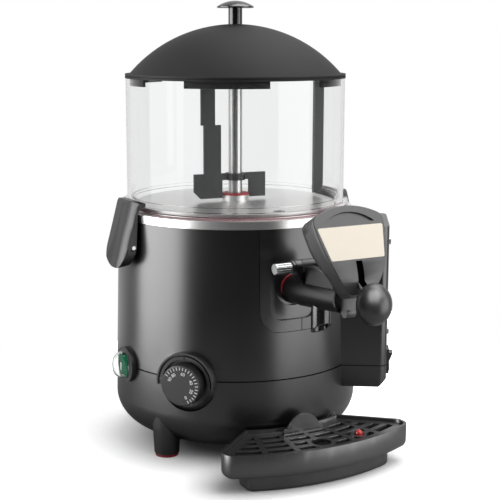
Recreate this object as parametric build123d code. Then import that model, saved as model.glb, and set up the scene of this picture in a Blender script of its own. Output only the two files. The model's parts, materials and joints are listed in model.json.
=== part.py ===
"""Hot chocolate dispenser. Built in millimetres round the vessel axis, front towards -Y, floor at z = 0."""

import math
import os

from build123d import *

# Fits
TOUCH_GAP = 0.3
RUN_GAP = 0.05
WALL = 3.0

# Casing and base
SEAM_Z = 86.0
DECK_Z = 234.2
BASE_R = 126.3
SEAM_STEP = 0.7
SEAM_R = BASE_R - SEAM_STEP
CASE_DRAFT = 4.0
DECK_R = SEAM_R - CASE_DRAFT
DECK_HOLE_R = 108.0
DECK_T = 3.2
SEAM_GROOVE = 0.9
BOWL_TOP_Z = 50.0
BOWL_FLOOR_Z = 14.0
BOWL_ROUND = 30.0
BOWL_FLOOR_R = BASE_R - BOWL_ROUND
BOWL_HOLE_R = 76.0
LIP_GAP = 0.4
LIP_R = SEAM_R - WALL - LIP_GAP
LIP_H = 5.0
LEG_INSET = 14.3
LEG_RING_R = BASE_R - LEG_INSET
LEG_R = 14.0
LEG_FOOT_R = 12.6
LEG_FIRST = -66.0
LEG_TOP_Z = 60.0
PAD_R = 11.6
PAD_H = 3.0

# Side housing
HOUSING_ANGLE = 57.4
HOUSING_NEAR = 56.0
HOUSING_FAR = 35.0
HOUSING_REACH = 32.1
HOUSING_OUT = BASE_R + HOUSING_REACH
HOUSING_LOW = 64.0
HOUSING_TOP = 229.0
HOUSING_CHAMFER = 8.0
HOUSING_ROUND = 8.0
COVER_T = 2.4
COVER_RIM = 12.0
COVER_SEAT = 10.0
COVER_CORNER = 4.0
COVER_LOW_Z = 114.0

# Bath, column and tank
BATH_INSET = 0.4
BATH_R = DECK_R - BATH_INSET
BATH_T = 1.5
BATH_RIM_Z = 242.0
FLOOR_Z = 246.5
FLOOR_R = 103.0
COLUMN_R = 7.2
COLUMN_BORE_R = 5.2
COLUMN_TOP_Z = 366.0
COLUMN_FLANGE_R = 16.0
SEAL_R = 14.2
SEAL_Z = 252.6
SEAL_T = 1.8
GASKET_T = 2.0
GASKET_R = 111.0
GASKET_IN_R = 104.5
TANK_R = 112.3
TANK_WALL = 3.5
TANK_TOP_Z = 373.0
FLANGE_R = 117.0
FLANGE_T = 5.0
TANK_FOOT_R = 106.0
TANK_FOOT_H = 9.0

# Lid
DOME_RISE = 49.7
DOME_INSET = 4.6
LID_T = 2.5
LID_RIM_R = 112.9
LID_LIP_R = 111.4
LID_RIM_IN_R = 104.5
LID_RIM_H = 4.3
LID_LIP_LOW = 1.8
LID_LIP_HIGH = 2.6
TAB_OUT_R = 108.2
TAB_IN_R = 105.8
TAB_H = 7.0
TAB_ANGLES = (-92.5, -32.5, 34.0)
TAB_SPANS = (19.0, 41.0, 24.0)
KNOB_R = 18.8
KNOB_STEM_R = 7.1
KNOB_H = 23.3
KNOB_CAP_H = 7.4
KNOB_RIM = 1.5
KNOB_SCREW_R = 2.5

# Stirrer and drive
STIR_ANGLE = 84.6
STIR_T = 3.2
BLADE_OUT = 102.5
BLADE_IN = 90.5
BLADE_CORNER = 11.0
STIR_FOOT_Z = 249.5
ARM_TOP_Z = 377.0
ARM_H = 4.0
ARM_W = 9.0
FIN_OUT = 38.0
FIN_IN = 23.0
FIN_LOW_OUT = 35.0
FIN_LOW_IN = 16.5
FIN_STEP_Z = 325.0
FOOT_OUT = 46.0
FOOT_TOP_Z = 275.0
FOOT_CHAMFER = 7.0
RIGHT_FOOT = 33.5
WINDOW = 15.0
WINDOW_TOP_Z = 268.0
HUB_R = 9.5
HUB_LOW_Z = 368.0
HUB_TOP_Z = 384.0
SLEEVE_BORE_R = 7.8
SLEEVE_R = 10.4
SHAFT_R = 4.0
SHAFT_TOP_Z = 376.0
SHAFT_LOW_Z = 160.0
GEARBOX_R = 30.0
GEARBOX_LOW_Z = 150.0
GEARBOX_TOP_Z = 190.0
MOTOR_R = 25.0
MOTOR_LOW_Z = 92.0
BRACKET_R = 46.0
BRACKET_T = 3.0
POST_RING_R = 38.0
POST_R = 4.0
HEATER_OUT_R = 74.0
HEATER_IN_R = 48.0
HEATER_T = 7.0
CUTOUT_R = 8.0
CUTOUT_H = 9.0
CUTOUT_RING_R = 29.0

# Front frame, panel and outlet
FRAME_W = 36.4
FRAME_BAND = 10.7
FRAME_LOW_Z = 133.0
FRAME_CORNER = 20.0
FRAME_T = 6.0
FRAME_GAP = 0.5
FRAME_FLANGE = 3.0
FRAME_SPLIT_X = 7.5
FRAME_SPLIT_W = 0.8
FRAME_SPLIT_D = 1.5
PANEL_SINK = 2.5
TAP_Z = 178.5
TAP_SEAT = 117.5
OUTLET_END = 112.0
OUTLET_BACK = 90.0
OUTLET_R = 9.0
OUTLET_BORE_R = 6.0
PANEL_BOSS_R = 23.6
PANEL_POCKET_R = 20.2

# Tap
TAP_SEAL_R = 14.2
TAP_SEAL_T = 1.6
SPIGOT_R = 8.0
TAP_HALF_W = 12.9
TAP_BACK_H = 14.2
TAP_END_H = 13.2
TAP_DROP = 4.9
TAP_RISE = 8.3
TAP_STEP = 140.5
TAP_STEP_H = 0.5
BARREL_END = 210.5
BARREL_WALL = 1.6
BARREL_BACK = 152.0
PLUG_T = 8.0
PLUG_SINK = 9.0
SPOUT_AT = 170.5
SPOUT_R = 9.4
SPOUT_BORE_R = 7.0
SPOUT_LOW_Z = 140.0
SPOUT_CUT = 35.0
PIVOT_AT = 148.5
PIVOT_Z = 202.0
PIVOT_R = 3.0
LUG_R = 7.0
LUG_IN = 11.3
LUG_OUT = 17.3
HOOD_IN = 6.3
HOOD_OUT = 9.0
HOOD_NEAR = 136.0
HOOD_FAR = 204.0
HOOD_AT = 175.5
HOOD_TOP_Z = 206.0
HOOD_EDGE = 1.5
SADDLE_HALF_W = 9.0
SADDLE_LOW_Z = 184.0
PIN_BOSS_R = 6.4
PIN_BOSS_T = 2.6
PIN_HEAD_R = 5.2
PIN_HEAD_L = 18.0
PIN_FLUTES = 14
PIN_FLUTE_R = 0.7
STEM_R = 2.5
STEM_HEAD_R = 5.5
STEM_HEAD_Z = 199.4
STEM_HEAD_T = 2.4
PLUNGER_R = 6.5
PLUNGER_LOW_Z = 162.0
PLUNGER_TOP_Z = 170.0
PLUNGER_SEAL_R = 4.6
PLUNGER_SEAL_LOW = 1.2
PLUNGER_SEAL_H = 3.0
SPRING_R = 4.2
SPRING_WIRE = 0.45
SPRING_TURNS = 6

# Handle
PLATE_TILT = 27.6
PLATE_AT = 216.4
PLATE_Z = 249.7
PLATE_T = 20.0
PLATE_SKIN = 4.0
PLATE_SHELL = 3.0
PLATE_HALF_W = 37.6
PLATE_CROWN = 19.8
PLATE_SHOULDER = 9.0
PLATE_CORNER = 9.0
PLATE_EDGE = 1.4
PLATE_HIP = 31.0
PLATE_HIP_W = 30.0
PLATE_WAIST = 47.0
PLATE_WAIST_W = 22.6
PLATE_FOOT = 61.0
PLATE_FOOT_W = 12.0
PLATE_BEND = 31.0
PLATE_BEND_R = 50.0
PLATE_BREAK = 17.0
KNEE_AT = 222.0
KNEE_Z = 204.0
FOOT_T = 12.0
RECESS_HALF_W = 27.0
RECESS_LOW = 3.2
RECESS_HIGH = 13.5
RECESS_DEPTH = 2.0
ARM_IN = 6.2
HANDLE_ARM_OUT = 11.0
LEDGE_IN = 3.2
LEDGE_T = 2.3
LEDGE_GAP = 0.5
LEDGE_HALF = 5.0
TONGUE_W = 5.0
TONGUE_GAP = 1.0
TONGUE_T = 9.0
TONGUE_LOW_Z = 166.5
TONGUE_TOP_Z = 212.0
ARM_LIFT = 1.0
ARM_TIP = 30.0
ARM_CROWN = 24.0
ARM_ELBOW = 28.0
ARM_ELBOW_RISE = 12.0
SLOT_W = 6.5
SLOT_DEPTH = 3.0
SLOT_GAP = 1.5
SIGN_TOP_W = 34.4
SIGN_LOW_W = 27.6
SIGN_H = 30.8
SIGN_T = 1.2
SIGN_SINK = 0.8
BALL_AT = 256.0
BALL_Z = 186.5
BALL_R = 15.8
BALL_LONG_R = 18.7
BALL_STUD_R = 4.0
BALL_STUD_AT = 232.0
BALL_STUD_Z = 204.0

# Dial
DIAL_ANGLE = -50.0
DIAL_Z = 84.0
BEZEL_R = 30.0
BEZEL_SINK = 8.3
BEZEL_BACK = BASE_R - BEZEL_SINK
BEZEL_PROUD = 2.2
BEZEL_FACE = BASE_R + BEZEL_PROUD
BEZEL_RIDGE_H = 3.0
BEZEL_RIDGE = BEZEL_FACE + BEZEL_RIDGE_H
BEZEL_LIP_R = 26.6
BEZEL_WELL_R = 23.6
BEZEL_GROOVE_R = 28.2
BEZEL_SOFT = 6.0
BEZEL_HALF_Z = 4.0
DIAL_R = 20.0
DIAL_GAP = 0.7
DIAL_BACK = BEZEL_FACE + DIAL_GAP
DIAL_T = 12.3
DIAL_FRONT = DIAL_BACK + DIAL_T
DIAL_TAPER = 0.8
SPINDLE_R = 3.0
THERMO_W = 34.0
THERMO_D = 26.0

# Heat switch on the left
HEAT_ANGLE = -88.0
HEAT_Z = 87.0
HEAT_R = 18.0
HEAT_PLUG_R = 15.5
HEAT_SINK = 14.3
HEAT_BACK = BASE_R - HEAT_SINK
HEAT_PROUD = 3.7
HEAT_FACE = BASE_R + HEAT_PROUD
ROCKER_W = 13.0
ROCKER_H = 22.0
ROCKER_PIVOT_BACK = 4.0
ROCKER_PROUD = 3.0
ROCKER_TILT = 8.0
TRUNNION_R = 1.5
TRUNNION_L = 1.5
ROCKER_GAP = 0.8
ROCKER_DEEP = 7.0
HEAT_COVER_OUT = 12.0
HEAT_COVER_T = 1.2
HEAT_COVER_GAP = 1.6

# Power switch on the side cover
POWER_Z = 88.0
POWER_X = -36.5
POWER_W = 15.0
POWER_H = 21.0
POWER_RIM = 2.0
POWER_PROUD = 2.6
POWER_DEEP = 14.0

# Latches
LATCH_HALF_W = 26.0
LATCH_CHEEK = 3.0
PIN_OUT = 4.1
PIN_Z = 209.8
LATCH_PIN_R = 2.0
HOOK_GRIP = 3.4
HOOK_TOP_Z = 253.4
LATCH_TIP_Z = 187.0
LATCH_TIP_OUT = 16.0
LATCH_BEND_OUT = 11.4
LATCH_BEND_Z = 207.5
LATCH_WAIST_OUT = 5.3
LATCH_WAIST_Z = 232.0
LATCH_TOP_OUT = 0.8
LATCH_TOP_Z = 250.7
LATCH_SKIN = 3.2
LATCH_STRAIGHT_Z = 212.0
LATCH_TONGUE_W = 18.0
LATCH_TONGUE_Z = 193.0
LATCH_HOLLOW = 16.0
DISH_R = 130.0
DISH_LOW = 2.0
DISH_HIGH = 0.6
EAR_W = 8.0
EAR_AT = 8.0
EAR_R = 3.2

# Tray, grille and float
TRAY_REACH = 198.5
TRAY_BOW = 23.9
TRAY_SIDE = 14.6
TRAY_HALF_W = 101.0
TRAY_CORNER = 11.0
TRAY_BACK_R = 129.0
TRAY_BACK_HALF_W = 52.0
TRAY_STEP_Z = 15.0
TRAY_TOP_Z = 39.0
TRAY_WALL = 2.6
TRAY_ROUND = 7.0
STEP_INSET = 9.0
STEP_HALF_W = 79.0
STEP_BACK = 150.0
LEDGE_Z = 32.6
LEDGE_W = 2.4
GRILLE_T = 3.4
GRILLE_GAP = 0.5
GRILLE_HOLE_AT = 174.0
GRILLE_HOLE_R = 9.5
GRILLE_ROWS = 4
GRILLE_ROW_INSET = 16.0
GRILLE_ROW_STEP = 12.5
GRILLE_SLOT_W = 7.2
GRILLE_SLOT_DEG = 6.9
GRILLE_PITCH_DEG = 8.5
TAB_AT = 139.0
TAB_T = 2.5
TAB_BASE_W = 22.0
TAB_BASE_Z = 41.5
TAB_ROUND_W = 18.0
TAB_TOP_Z = 54.5
FLOAT_X = 44.0
FLOAT_AT = 172.0
FLOAT_R = 3.8
FLOAT_HOLE_R = 4.8
FLOAT_BODY_R = 9.0
FLOAT_BODY_H = 10.0
FLOAT_TOP_Z = 40.5
FLOAT_LOW_Z = 6.0

# Underside, wiring and screws
PLATE_UNDER_R = 84.0
PLATE_UNDER_T = 2.0
VENT_W = 4.0
VENT_L = 34.0
VENT_COUNT = 7
VENT_STEP = 11.0
UNDER_SCREW_RING = 80.0
SCREW_R = 1.9
SCREW_HEAD_R = 3.6
SCREW_HEAD_H = 2.0
GLAND_Z = 60.0
GLAND_R = 7.0
GLAND_NUT_R = 10.0
GLAND_REACH = 10.7
GLAND_OUT = BASE_R + GLAND_REACH
GLAND_BORE_R = 3.5
BLOCK_L = 44.0
BLOCK_W = 20.0
BLOCK_H = 16.0


def case_radius(z):
    """Outer radius of the drafted casing at a height."""
    return SEAM_R + (DECK_R - SEAM_R) * (z - SEAM_Z) / (DECK_Z - SEAM_Z)


def turned(points):
    """Solid of revolution of a closed outline given as radius and height."""
    outline = Polyline(*points, close=True)
    return revolve(Plane.XZ * make_face(outline), Axis.Z)


def disc(radius, z_low, z_high):
    """Upright disc on the vessel axis."""
    return extrude(Plane.XY.offset(z_low) * Circle(radius), z_high - z_low)


def ring(radius, bore, z_low, z_high):
    """Upright ring on the vessel axis."""
    return disc(radius, z_low, z_high) - disc(bore, z_low, z_high)


def block(x_low, x_high, near, far, z_low, z_high):
    """Box between two distances in front of the vessel axis."""
    size = Box(x_high - x_low, far - near, z_high - z_low)
    return Pos((x_low + x_high) / 2, -(near + far) / 2, (z_low + z_high) / 2) * size


def rod(radius, near, far, z, x=0.0):
    """Cylinder that points forward, between two distances from the vessel axis."""
    return Pos(x, -near, z) * Rot(90, 0, 0) * Cylinder(
        radius, far - near, align=(Align.CENTER, Align.CENTER, Align.MIN)
    )


def cross_rod(radius, x_low, x_high, at, z):
    """Cylinder along X at a distance in front of the vessel axis."""
    return Pos(x_low, -at, z) * Rot(0, 90, 0) * Cylinder(
        radius, x_high - x_low, align=(Align.CENTER, Align.CENTER, Align.MIN)
    )


def stud(radius, x, at, z_low, z_high):
    """Upright cylinder away from the vessel axis."""
    return Pos(x, -at, 0) * disc(radius, z_low, z_high)


def facing(angle):
    """Turn that brings the front to an angle counted from the front towards the right."""
    return Rot(0, 0, angle)


def case_core(inset, z_low, z_high):
    """Solid inside the casing's outer face, less an inset."""
    low = case_radius(z_low) - inset
    high = case_radius(z_high) - inset
    return turned([(0, z_low), (low, z_low), (high, z_high), (0, z_high)])


def bowl_core(inset):
    """Solid inside the base's outer face, less an inset."""
    top_r = SEAM_R - inset
    side_r = BASE_R - inset
    bend = math.sqrt(0.5)
    mid_r = BOWL_FLOOR_R + (BASE_R - BOWL_FLOOR_R) * bend - inset * bend
    mid_z = BOWL_TOP_Z - (BOWL_TOP_Z - BOWL_FLOOR_Z) * bend + inset * bend
    floor_z = BOWL_FLOOR_Z + inset
    side = Polyline((0, SEAM_Z), (top_r, SEAM_Z), (side_r, BOWL_TOP_Z))
    bowl = ThreePointArc((side_r, BOWL_TOP_Z), (mid_r, mid_z), (BOWL_FLOOR_R, floor_z))
    under = Polyline((BOWL_FLOOR_R, floor_z), (0, floor_z), (0, SEAM_Z))
    return revolve(Plane.XZ * make_face([side, bowl, under]), Axis.Z)


def housing_form(inset):
    """Side housing before it meets the casing, the inset leaving its walls."""
    out = HOUSING_OUT - (inset > 0) * (COVER_T + WALL)
    low = HOUSING_LOW + inset
    top = HOUSING_TOP - inset
    cut = HOUSING_CHAMFER
    outline = Polyline((0, low), (out - cut, low), (out, low + cut), (out, top), (0, top), close=True)
    face = Plane(origin=(0, 0, 0), x_dir=(0, -1, 0), z_dir=(-1, 0, 0)) * make_face(outline)
    width = HOUSING_NEAR + HOUSING_FAR - 2 * inset
    solid = Pos(HOUSING_FAR - inset, 0, 0) * extrude(face, width)
    return solid


def front_window(half_w, low_z, corner):
    """Prism through the casing's front with a U outline, open at the deck."""
    top = DECK_Z + 1
    high = low_z + corner
    arc = corner * (1 - math.sqrt(0.5))
    right = Polyline((half_w, high), (half_w, top), (-half_w, top), (-half_w, high))
    left_bend = ThreePointArc((-half_w, high), (-half_w + arc, low_z + arc), (-half_w + corner, low_z))
    floor = Line((-half_w + corner, low_z), (half_w - corner, low_z))
    right_bend = ThreePointArc((half_w - corner, low_z), (half_w - arc, low_z + arc), (half_w, high))
    face = Plane.XZ * make_face([right, left_bend, floor, right_bend])
    return Pos(0, -OUTLET_BACK, 0) * extrude(face, BASE_R - OUTLET_BACK + 10)


# Side housing, split at the seam
housing_skin = housing_form(0)
housing_edges = housing_skin.edges().filter_by(Axis.Z).group_by(Axis.Y)[0]
housing_skin = facing(HOUSING_ANGLE) * fillet(housing_edges, HOUSING_ROUND)
housing_void = facing(HOUSING_ANGLE) * housing_form(WALL)
housing_upper = housing_skin & disc(2 * BASE_R, SEAM_Z, HOUSING_TOP)
housing_lower = housing_skin & disc(2 * BASE_R, 0, SEAM_Z)

# Openings shared by casing and base
bezel_hole = facing(DIAL_ANGLE) * rod(BEZEL_R, BEZEL_BACK - 10, BEZEL_FACE + 10, DIAL_Z)
heat_hole = facing(HEAT_ANGLE) * rod(HEAT_PLUG_R, HEAT_BACK, HEAT_FACE + 10, HEAT_Z)
gland_hole = facing(180) * rod(GLAND_R, BASE_R - 12, BASE_R + 12, GLAND_Z)
window_out = front_window(FRAME_W, FRAME_LOW_Z, FRAME_CORNER)
window_in = front_window(FRAME_W - FRAME_BAND, FRAME_LOW_Z + FRAME_BAND + 1.3, FRAME_CORNER - 8)

# Casing
case_solid = case_core(0, SEAM_Z, DECK_Z)
case_inside = case_core(WALL, SEAM_Z, DECK_Z - DECK_T)
deck_hole = disc(DECK_HOLE_R, SEAM_Z, DECK_Z)
seam_groove = ring(BASE_R + 1, SEAM_R - SEAM_GROOVE, SEAM_Z, SEAM_Z + SEAM_GROOVE)
casing = case_solid + (housing_upper - case_solid)
casing = casing - case_inside - deck_hole - housing_void
casing = casing - window_out - bezel_hole - heat_hole - (seam_groove & case_solid)

# Base
bowl_solid = bowl_core(0)
legs = Part()
leg_spots = [facing(LEG_FIRST + 90 * step) for step in range(4)]
leg_mid_z = LEG_TOP_Z / 2
leg_side = [(LEG_FOOT_R, PAD_H), (LEG_R, leg_mid_z), (LEG_R, LEG_TOP_Z)]
leg_form = turned([(0, PAD_H), *leg_side, (0, LEG_TOP_Z)])
leg_shell = Pos(0, -LEG_RING_R, 0) * leg_form
for spot in leg_spots:
    legs += spot * leg_shell
bowl_hollow = bowl_core(WALL)
base = bowl_solid + legs + (housing_lower - bowl_solid)
base = base - (bowl_hollow - legs) - disc(BOWL_HOLE_R, 0, SEAM_Z) - housing_void
base += ring(SEAM_R - WALL + 0.3, LIP_R - WALL, SEAM_Z - 2 * LIP_H, SEAM_Z)
base += ring(LIP_R, LIP_R - WALL, SEAM_Z - LIP_H, SEAM_Z + LIP_H)
base = base - bezel_hole - heat_hole - gland_hole - housing_void
foot_pad = Pos(0, -LEG_RING_R, 0) * disc(PAD_R, 0, PAD_H)
foot_pads = Compound(children=[spot * foot_pad for spot in leg_spots])

# Front frame and panel
frame_shell = case_core(0, SEAM_Z, DECK_Z) - case_core(FRAME_T, SEAM_Z, DECK_Z)
frame_window = front_window(FRAME_W - FRAME_GAP, FRAME_LOW_Z + FRAME_GAP, FRAME_CORNER - FRAME_GAP)
flange_low_z = FRAME_LOW_Z - FRAME_FLANGE
flange_window = front_window(FRAME_W + FRAME_FLANGE, flange_low_z, FRAME_CORNER + FRAME_FLANGE)
flange_shell = case_core(WALL, SEAM_Z, DECK_Z - DECK_T) - case_core(FRAME_T, SEAM_Z, DECK_Z - DECK_T)
front_frame = ((frame_shell & frame_window) + (flange_shell & flange_window)) - window_in
split_near = case_radius(FRAME_LOW_Z) - FRAME_SPLIT_D
split_low = FRAME_SPLIT_X - FRAME_SPLIT_W / 2
split_high = FRAME_SPLIT_X + FRAME_SPLIT_W / 2
split_groove = block(split_low, split_high, split_near, BASE_R, FRAME_LOW_Z, TAP_Z)
front_frame = front_frame - split_groove
panel_shell = case_core(PANEL_SINK, SEAM_Z, DECK_Z) - case_core(PANEL_SINK + WALL, SEAM_Z, DECK_Z)
front_panel = (panel_shell & window_in) + rod(PANEL_BOSS_R, OUTLET_END, TAP_SEAT, TAP_Z)
front_panel = front_panel - rod(PANEL_POCKET_R, TAP_SEAT, BASE_R, TAP_Z)
front_panel = front_panel - rod(SPIGOT_R, OUTLET_BACK, BASE_R, TAP_Z)

# Bath, column, seals and tank
under_floor_z = FLOOR_Z - BATH_T
rim_under_z = BATH_RIM_Z - BATH_T
bath = turned(
    [
        (COLUMN_R, under_floor_z),
        (FLOOR_R - BATH_T, under_floor_z),
        (FLOOR_R - BATH_T, rim_under_z),
        (BATH_R - BATH_T, rim_under_z),
        (BATH_R - BATH_T, DECK_Z),
        (BATH_R, DECK_Z),
        (BATH_R, BATH_RIM_Z),
        (FLOOR_R, BATH_RIM_Z),
        (FLOOR_R, FLOOR_Z),
        (COLUMN_R, FLOOR_Z),
    ]
)
bath += ring(SEAL_R, COLUMN_R, FLOOR_Z, SEAL_Z)
bath = bath - stud(OUTLET_BORE_R, 0, OUTLET_BACK, under_floor_z, FLOOR_Z)
column = ring(COLUMN_R, COLUMN_BORE_R, under_floor_z - 2, COLUMN_TOP_Z)
column += ring(COLUMN_FLANGE_R, COLUMN_BORE_R, under_floor_z - 2, under_floor_z)
column_seal = ring(SEAL_R, COLUMN_R, SEAL_Z, SEAL_Z + SEAL_T)
tank_low_z = BATH_RIM_Z + GASKET_T
flange_top_z = tank_low_z + FLANGE_T
tank_gasket = ring(GASKET_R, GASKET_IN_R, BATH_RIM_Z, tank_low_z)
tank = ring(TANK_R, TANK_R - TANK_WALL, tank_low_z, TANK_TOP_Z)
tank += ring(FLANGE_R, TANK_R - TANK_WALL, tank_low_z, flange_top_z)
tank += ring(TANK_R, TANK_FOOT_R, tank_low_z, tank_low_z + TANK_FOOT_H)

# Lid and knob
rim_top_z = TANK_TOP_Z + LID_RIM_H
dome_top_z = rim_top_z + DOME_RISE
dome_r = ((LID_RIM_R - DOME_INSET) ** 2 + DOME_RISE**2) / (2 * DOME_RISE)
dome_z = dome_top_z - dome_r
dome = Pos(0, 0, dome_z) * Sphere(dome_r) - Pos(0, 0, dome_z) * Sphere(dome_r - LID_T)
lip_low_z = TANK_TOP_Z + LID_LIP_LOW
lip_high_z = TANK_TOP_Z + LID_LIP_HIGH
lid = dome & disc(dome_r, rim_top_z - LID_T / 4, dome_top_z)
lid += ring(LID_RIM_R, LID_RIM_IN_R, TANK_TOP_Z, lip_low_z)
lid += ring(LID_LIP_R, LID_RIM_IN_R, lip_low_z, lip_high_z)
lid += ring(LID_RIM_R, LID_RIM_IN_R, lip_high_z, rim_top_z)
for angle, span in zip(TAB_ANGLES, TAB_SPANS):
    reach = 2 * TAB_OUT_R * math.tan(math.radians(span / 2))
    tab_ring = ring(TAB_OUT_R, TAB_IN_R, TANK_TOP_Z - TAB_H, TANK_TOP_Z)
    tab = tab_ring & block(-reach / 2, reach / 2, 0, TAB_OUT_R, 0, TANK_TOP_Z)
    lid += facing(angle) * tab
    lid += facing(angle + 180) * tab
knob_seat_z = dome_top_z - 0.6
lid = lid - disc(KNOB_STEM_R + 1.2, knob_seat_z, dome_top_z + 1) - disc(KNOB_SCREW_R, 0, dome_top_z)
knob_top_z = dome_top_z + KNOB_H
cap_low_z = knob_top_z - KNOB_CAP_H
cap_rise = KNOB_CAP_H - KNOB_RIM
cap_ball_r = (KNOB_R**2 + cap_rise**2) / (2 * cap_rise)
knob_cap = disc(KNOB_R, cap_low_z, knob_top_z) & Pos(0, 0, knob_top_z - cap_ball_r) * Sphere(cap_ball_r)
knob_cap = fillet(knob_cap.edges().group_by(Axis.Z)[0], KNOB_RIM / 2)
knob = disc(KNOB_STEM_R, knob_seat_z, cap_low_z) + knob_cap
screw_head_z = dome_top_z - 2 * LID_T
knob = knob - disc(KNOB_SCREW_R, knob_seat_z, cap_low_z)
lid_under_z = dome_top_z - LID_T
knob_screw = disc(KNOB_SCREW_R, screw_head_z, cap_low_z)
knob_screw += disc(2 * KNOB_SCREW_R, screw_head_z, lid_under_z)
knob_screw = knob_screw - (lid & disc(2 * KNOB_SCREW_R, 0, dome_top_z))

# Stirrer, shaft and motor
stir_plane = Plane(origin=(0, STIR_T / 2, 0), x_dir=(1, 0, 0), z_dir=(0, -1, 0))
blade_outline = Polyline(
    (BLADE_IN, ARM_TOP_Z),
    (BLADE_IN, STIR_FOOT_Z),
    (BLADE_OUT - BLADE_CORNER, STIR_FOOT_Z),
)
blade_bend = ThreePointArc(
    (BLADE_OUT - BLADE_CORNER, STIR_FOOT_Z),
    (BLADE_OUT - BLADE_CORNER * (1 - math.sqrt(0.5)), STIR_FOOT_Z + BLADE_CORNER * (1 - math.sqrt(0.5))),
    (BLADE_OUT, STIR_FOOT_Z + BLADE_CORNER),
)
blade_side = Polyline(
    (BLADE_OUT, STIR_FOOT_Z + BLADE_CORNER), (BLADE_OUT, ARM_TOP_Z), (BLADE_IN, ARM_TOP_Z)
)
blade = make_face([blade_outline, blade_bend, blade_side])
inner_arm = make_face(
    Polyline(
        (-FIN_OUT, ARM_TOP_Z),
        (-FIN_OUT, FIN_STEP_Z),
        (-FIN_LOW_OUT, FIN_STEP_Z),
        (-FIN_LOW_OUT, FOOT_TOP_Z),
        (-FOOT_OUT, FOOT_TOP_Z),
        (-FOOT_OUT, STIR_FOOT_Z + FOOT_CHAMFER),
        (-FOOT_OUT + FOOT_CHAMFER, STIR_FOOT_Z),
        (-WINDOW, STIR_FOOT_Z),
        (-WINDOW, WINDOW_TOP_Z),
        (-SLEEVE_BORE_R - 1, WINDOW_TOP_Z),
        (-SLEEVE_BORE_R - 1, FOOT_TOP_Z),
        (-FIN_LOW_IN, FOOT_TOP_Z),
        (-FIN_LOW_IN, FIN_STEP_Z),
        (-FIN_IN, FIN_STEP_Z),
        (-FIN_IN, ARM_TOP_Z),
        close=True,
    )
)
right_foot = make_face(
    Polyline(
        (SLEEVE_BORE_R + 1, FOOT_TOP_Z),
        (RIGHT_FOOT, FOOT_TOP_Z),
        (RIGHT_FOOT, STIR_FOOT_Z),
        (WINDOW, STIR_FOOT_Z),
        (WINDOW, WINDOW_TOP_Z),
        (SLEEVE_BORE_R + 1, WINDOW_TOP_Z),
        close=True,
    )
)
stirrer = extrude(stir_plane * blade, STIR_T) + extrude(stir_plane * inner_arm, STIR_T)
stirrer += extrude(stir_plane * right_foot, STIR_T)
arm_middle = (BLADE_OUT - FIN_OUT) / 2
stirrer += Pos(arm_middle, 0, ARM_TOP_Z - ARM_H / 2) * Box(BLADE_OUT + FIN_OUT, ARM_W, ARM_H)
stirrer += ring(SLEEVE_R, SLEEVE_BORE_R, WINDOW_TOP_Z, FOOT_TOP_Z)
stirrer += disc(HUB_R, HUB_LOW_Z, HUB_TOP_Z)
stirrer = facing(STIR_ANGLE - 90) * (stirrer - disc(SHAFT_R, HUB_LOW_Z, SHAFT_TOP_Z))
drive_shaft = disc(SHAFT_R, SHAFT_LOW_Z, SHAFT_TOP_Z)
motor = disc(GEARBOX_R, GEARBOX_LOW_Z, GEARBOX_TOP_Z) + disc(MOTOR_R, MOTOR_LOW_Z, GEARBOX_LOW_Z)
motor = motor - disc(SHAFT_R + RUN_GAP, SHAFT_LOW_Z - 1, GEARBOX_TOP_Z)
motor_bracket = ring(BRACKET_R, 2 * SHAFT_R, GEARBOX_TOP_Z, GEARBOX_TOP_Z + BRACKET_T)
for step in range(3):
    motor_bracket += facing(60 + 120 * step) * stud(POST_R, 0, POST_RING_R, GEARBOX_TOP_Z, under_floor_z)
heater = ring(HEATER_OUT_R, HEATER_IN_R, under_floor_z - HEATER_T, under_floor_z)
cutout = stud(CUTOUT_R, CUTOUT_RING_R, 0, under_floor_z - CUTOUT_H, under_floor_z)

# Outlet pipe
outlet = stud(OUTLET_R, 0, OUTLET_BACK, TAP_Z - OUTLET_R, under_floor_z)
outlet += rod(OUTLET_R, OUTLET_BACK, OUTLET_END, TAP_Z)
outlet = outlet - stud(OUTLET_BORE_R, 0, OUTLET_BACK, TAP_Z, under_floor_z)
outlet = outlet - rod(OUTLET_BORE_R, OUTLET_BACK, OUTLET_END, TAP_Z)

# Tap, an oval tube that rises a little towards its open end


def tap_height(at):
    """Height of the tap's middle at a distance from the vessel axis."""
    return TAP_Z - TAP_DROP + TAP_RISE * (at - TAP_SEAT) / (BARREL_END - TAP_SEAT)


def tap_half(at):
    """Half height of the tap's section at a distance from the vessel axis."""
    return TAP_BACK_H + (TAP_END_H - TAP_BACK_H) * (at - TAP_SEAT) / (BARREL_END - TAP_SEAT)


def tap_run(near, far, inset):
    """Length of the oval tap between two distances, less an inset."""
    sections = []
    for at in (near, far):
        plane = Plane(origin=(0, -at, tap_height(at)), x_dir=(1, 0, 0), z_dir=(0, -1, 0))
        sections.append(plane * Ellipse(TAP_HALF_W - inset, tap_half(at) - inset))
    return loft(sections, ruled=True)


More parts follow.
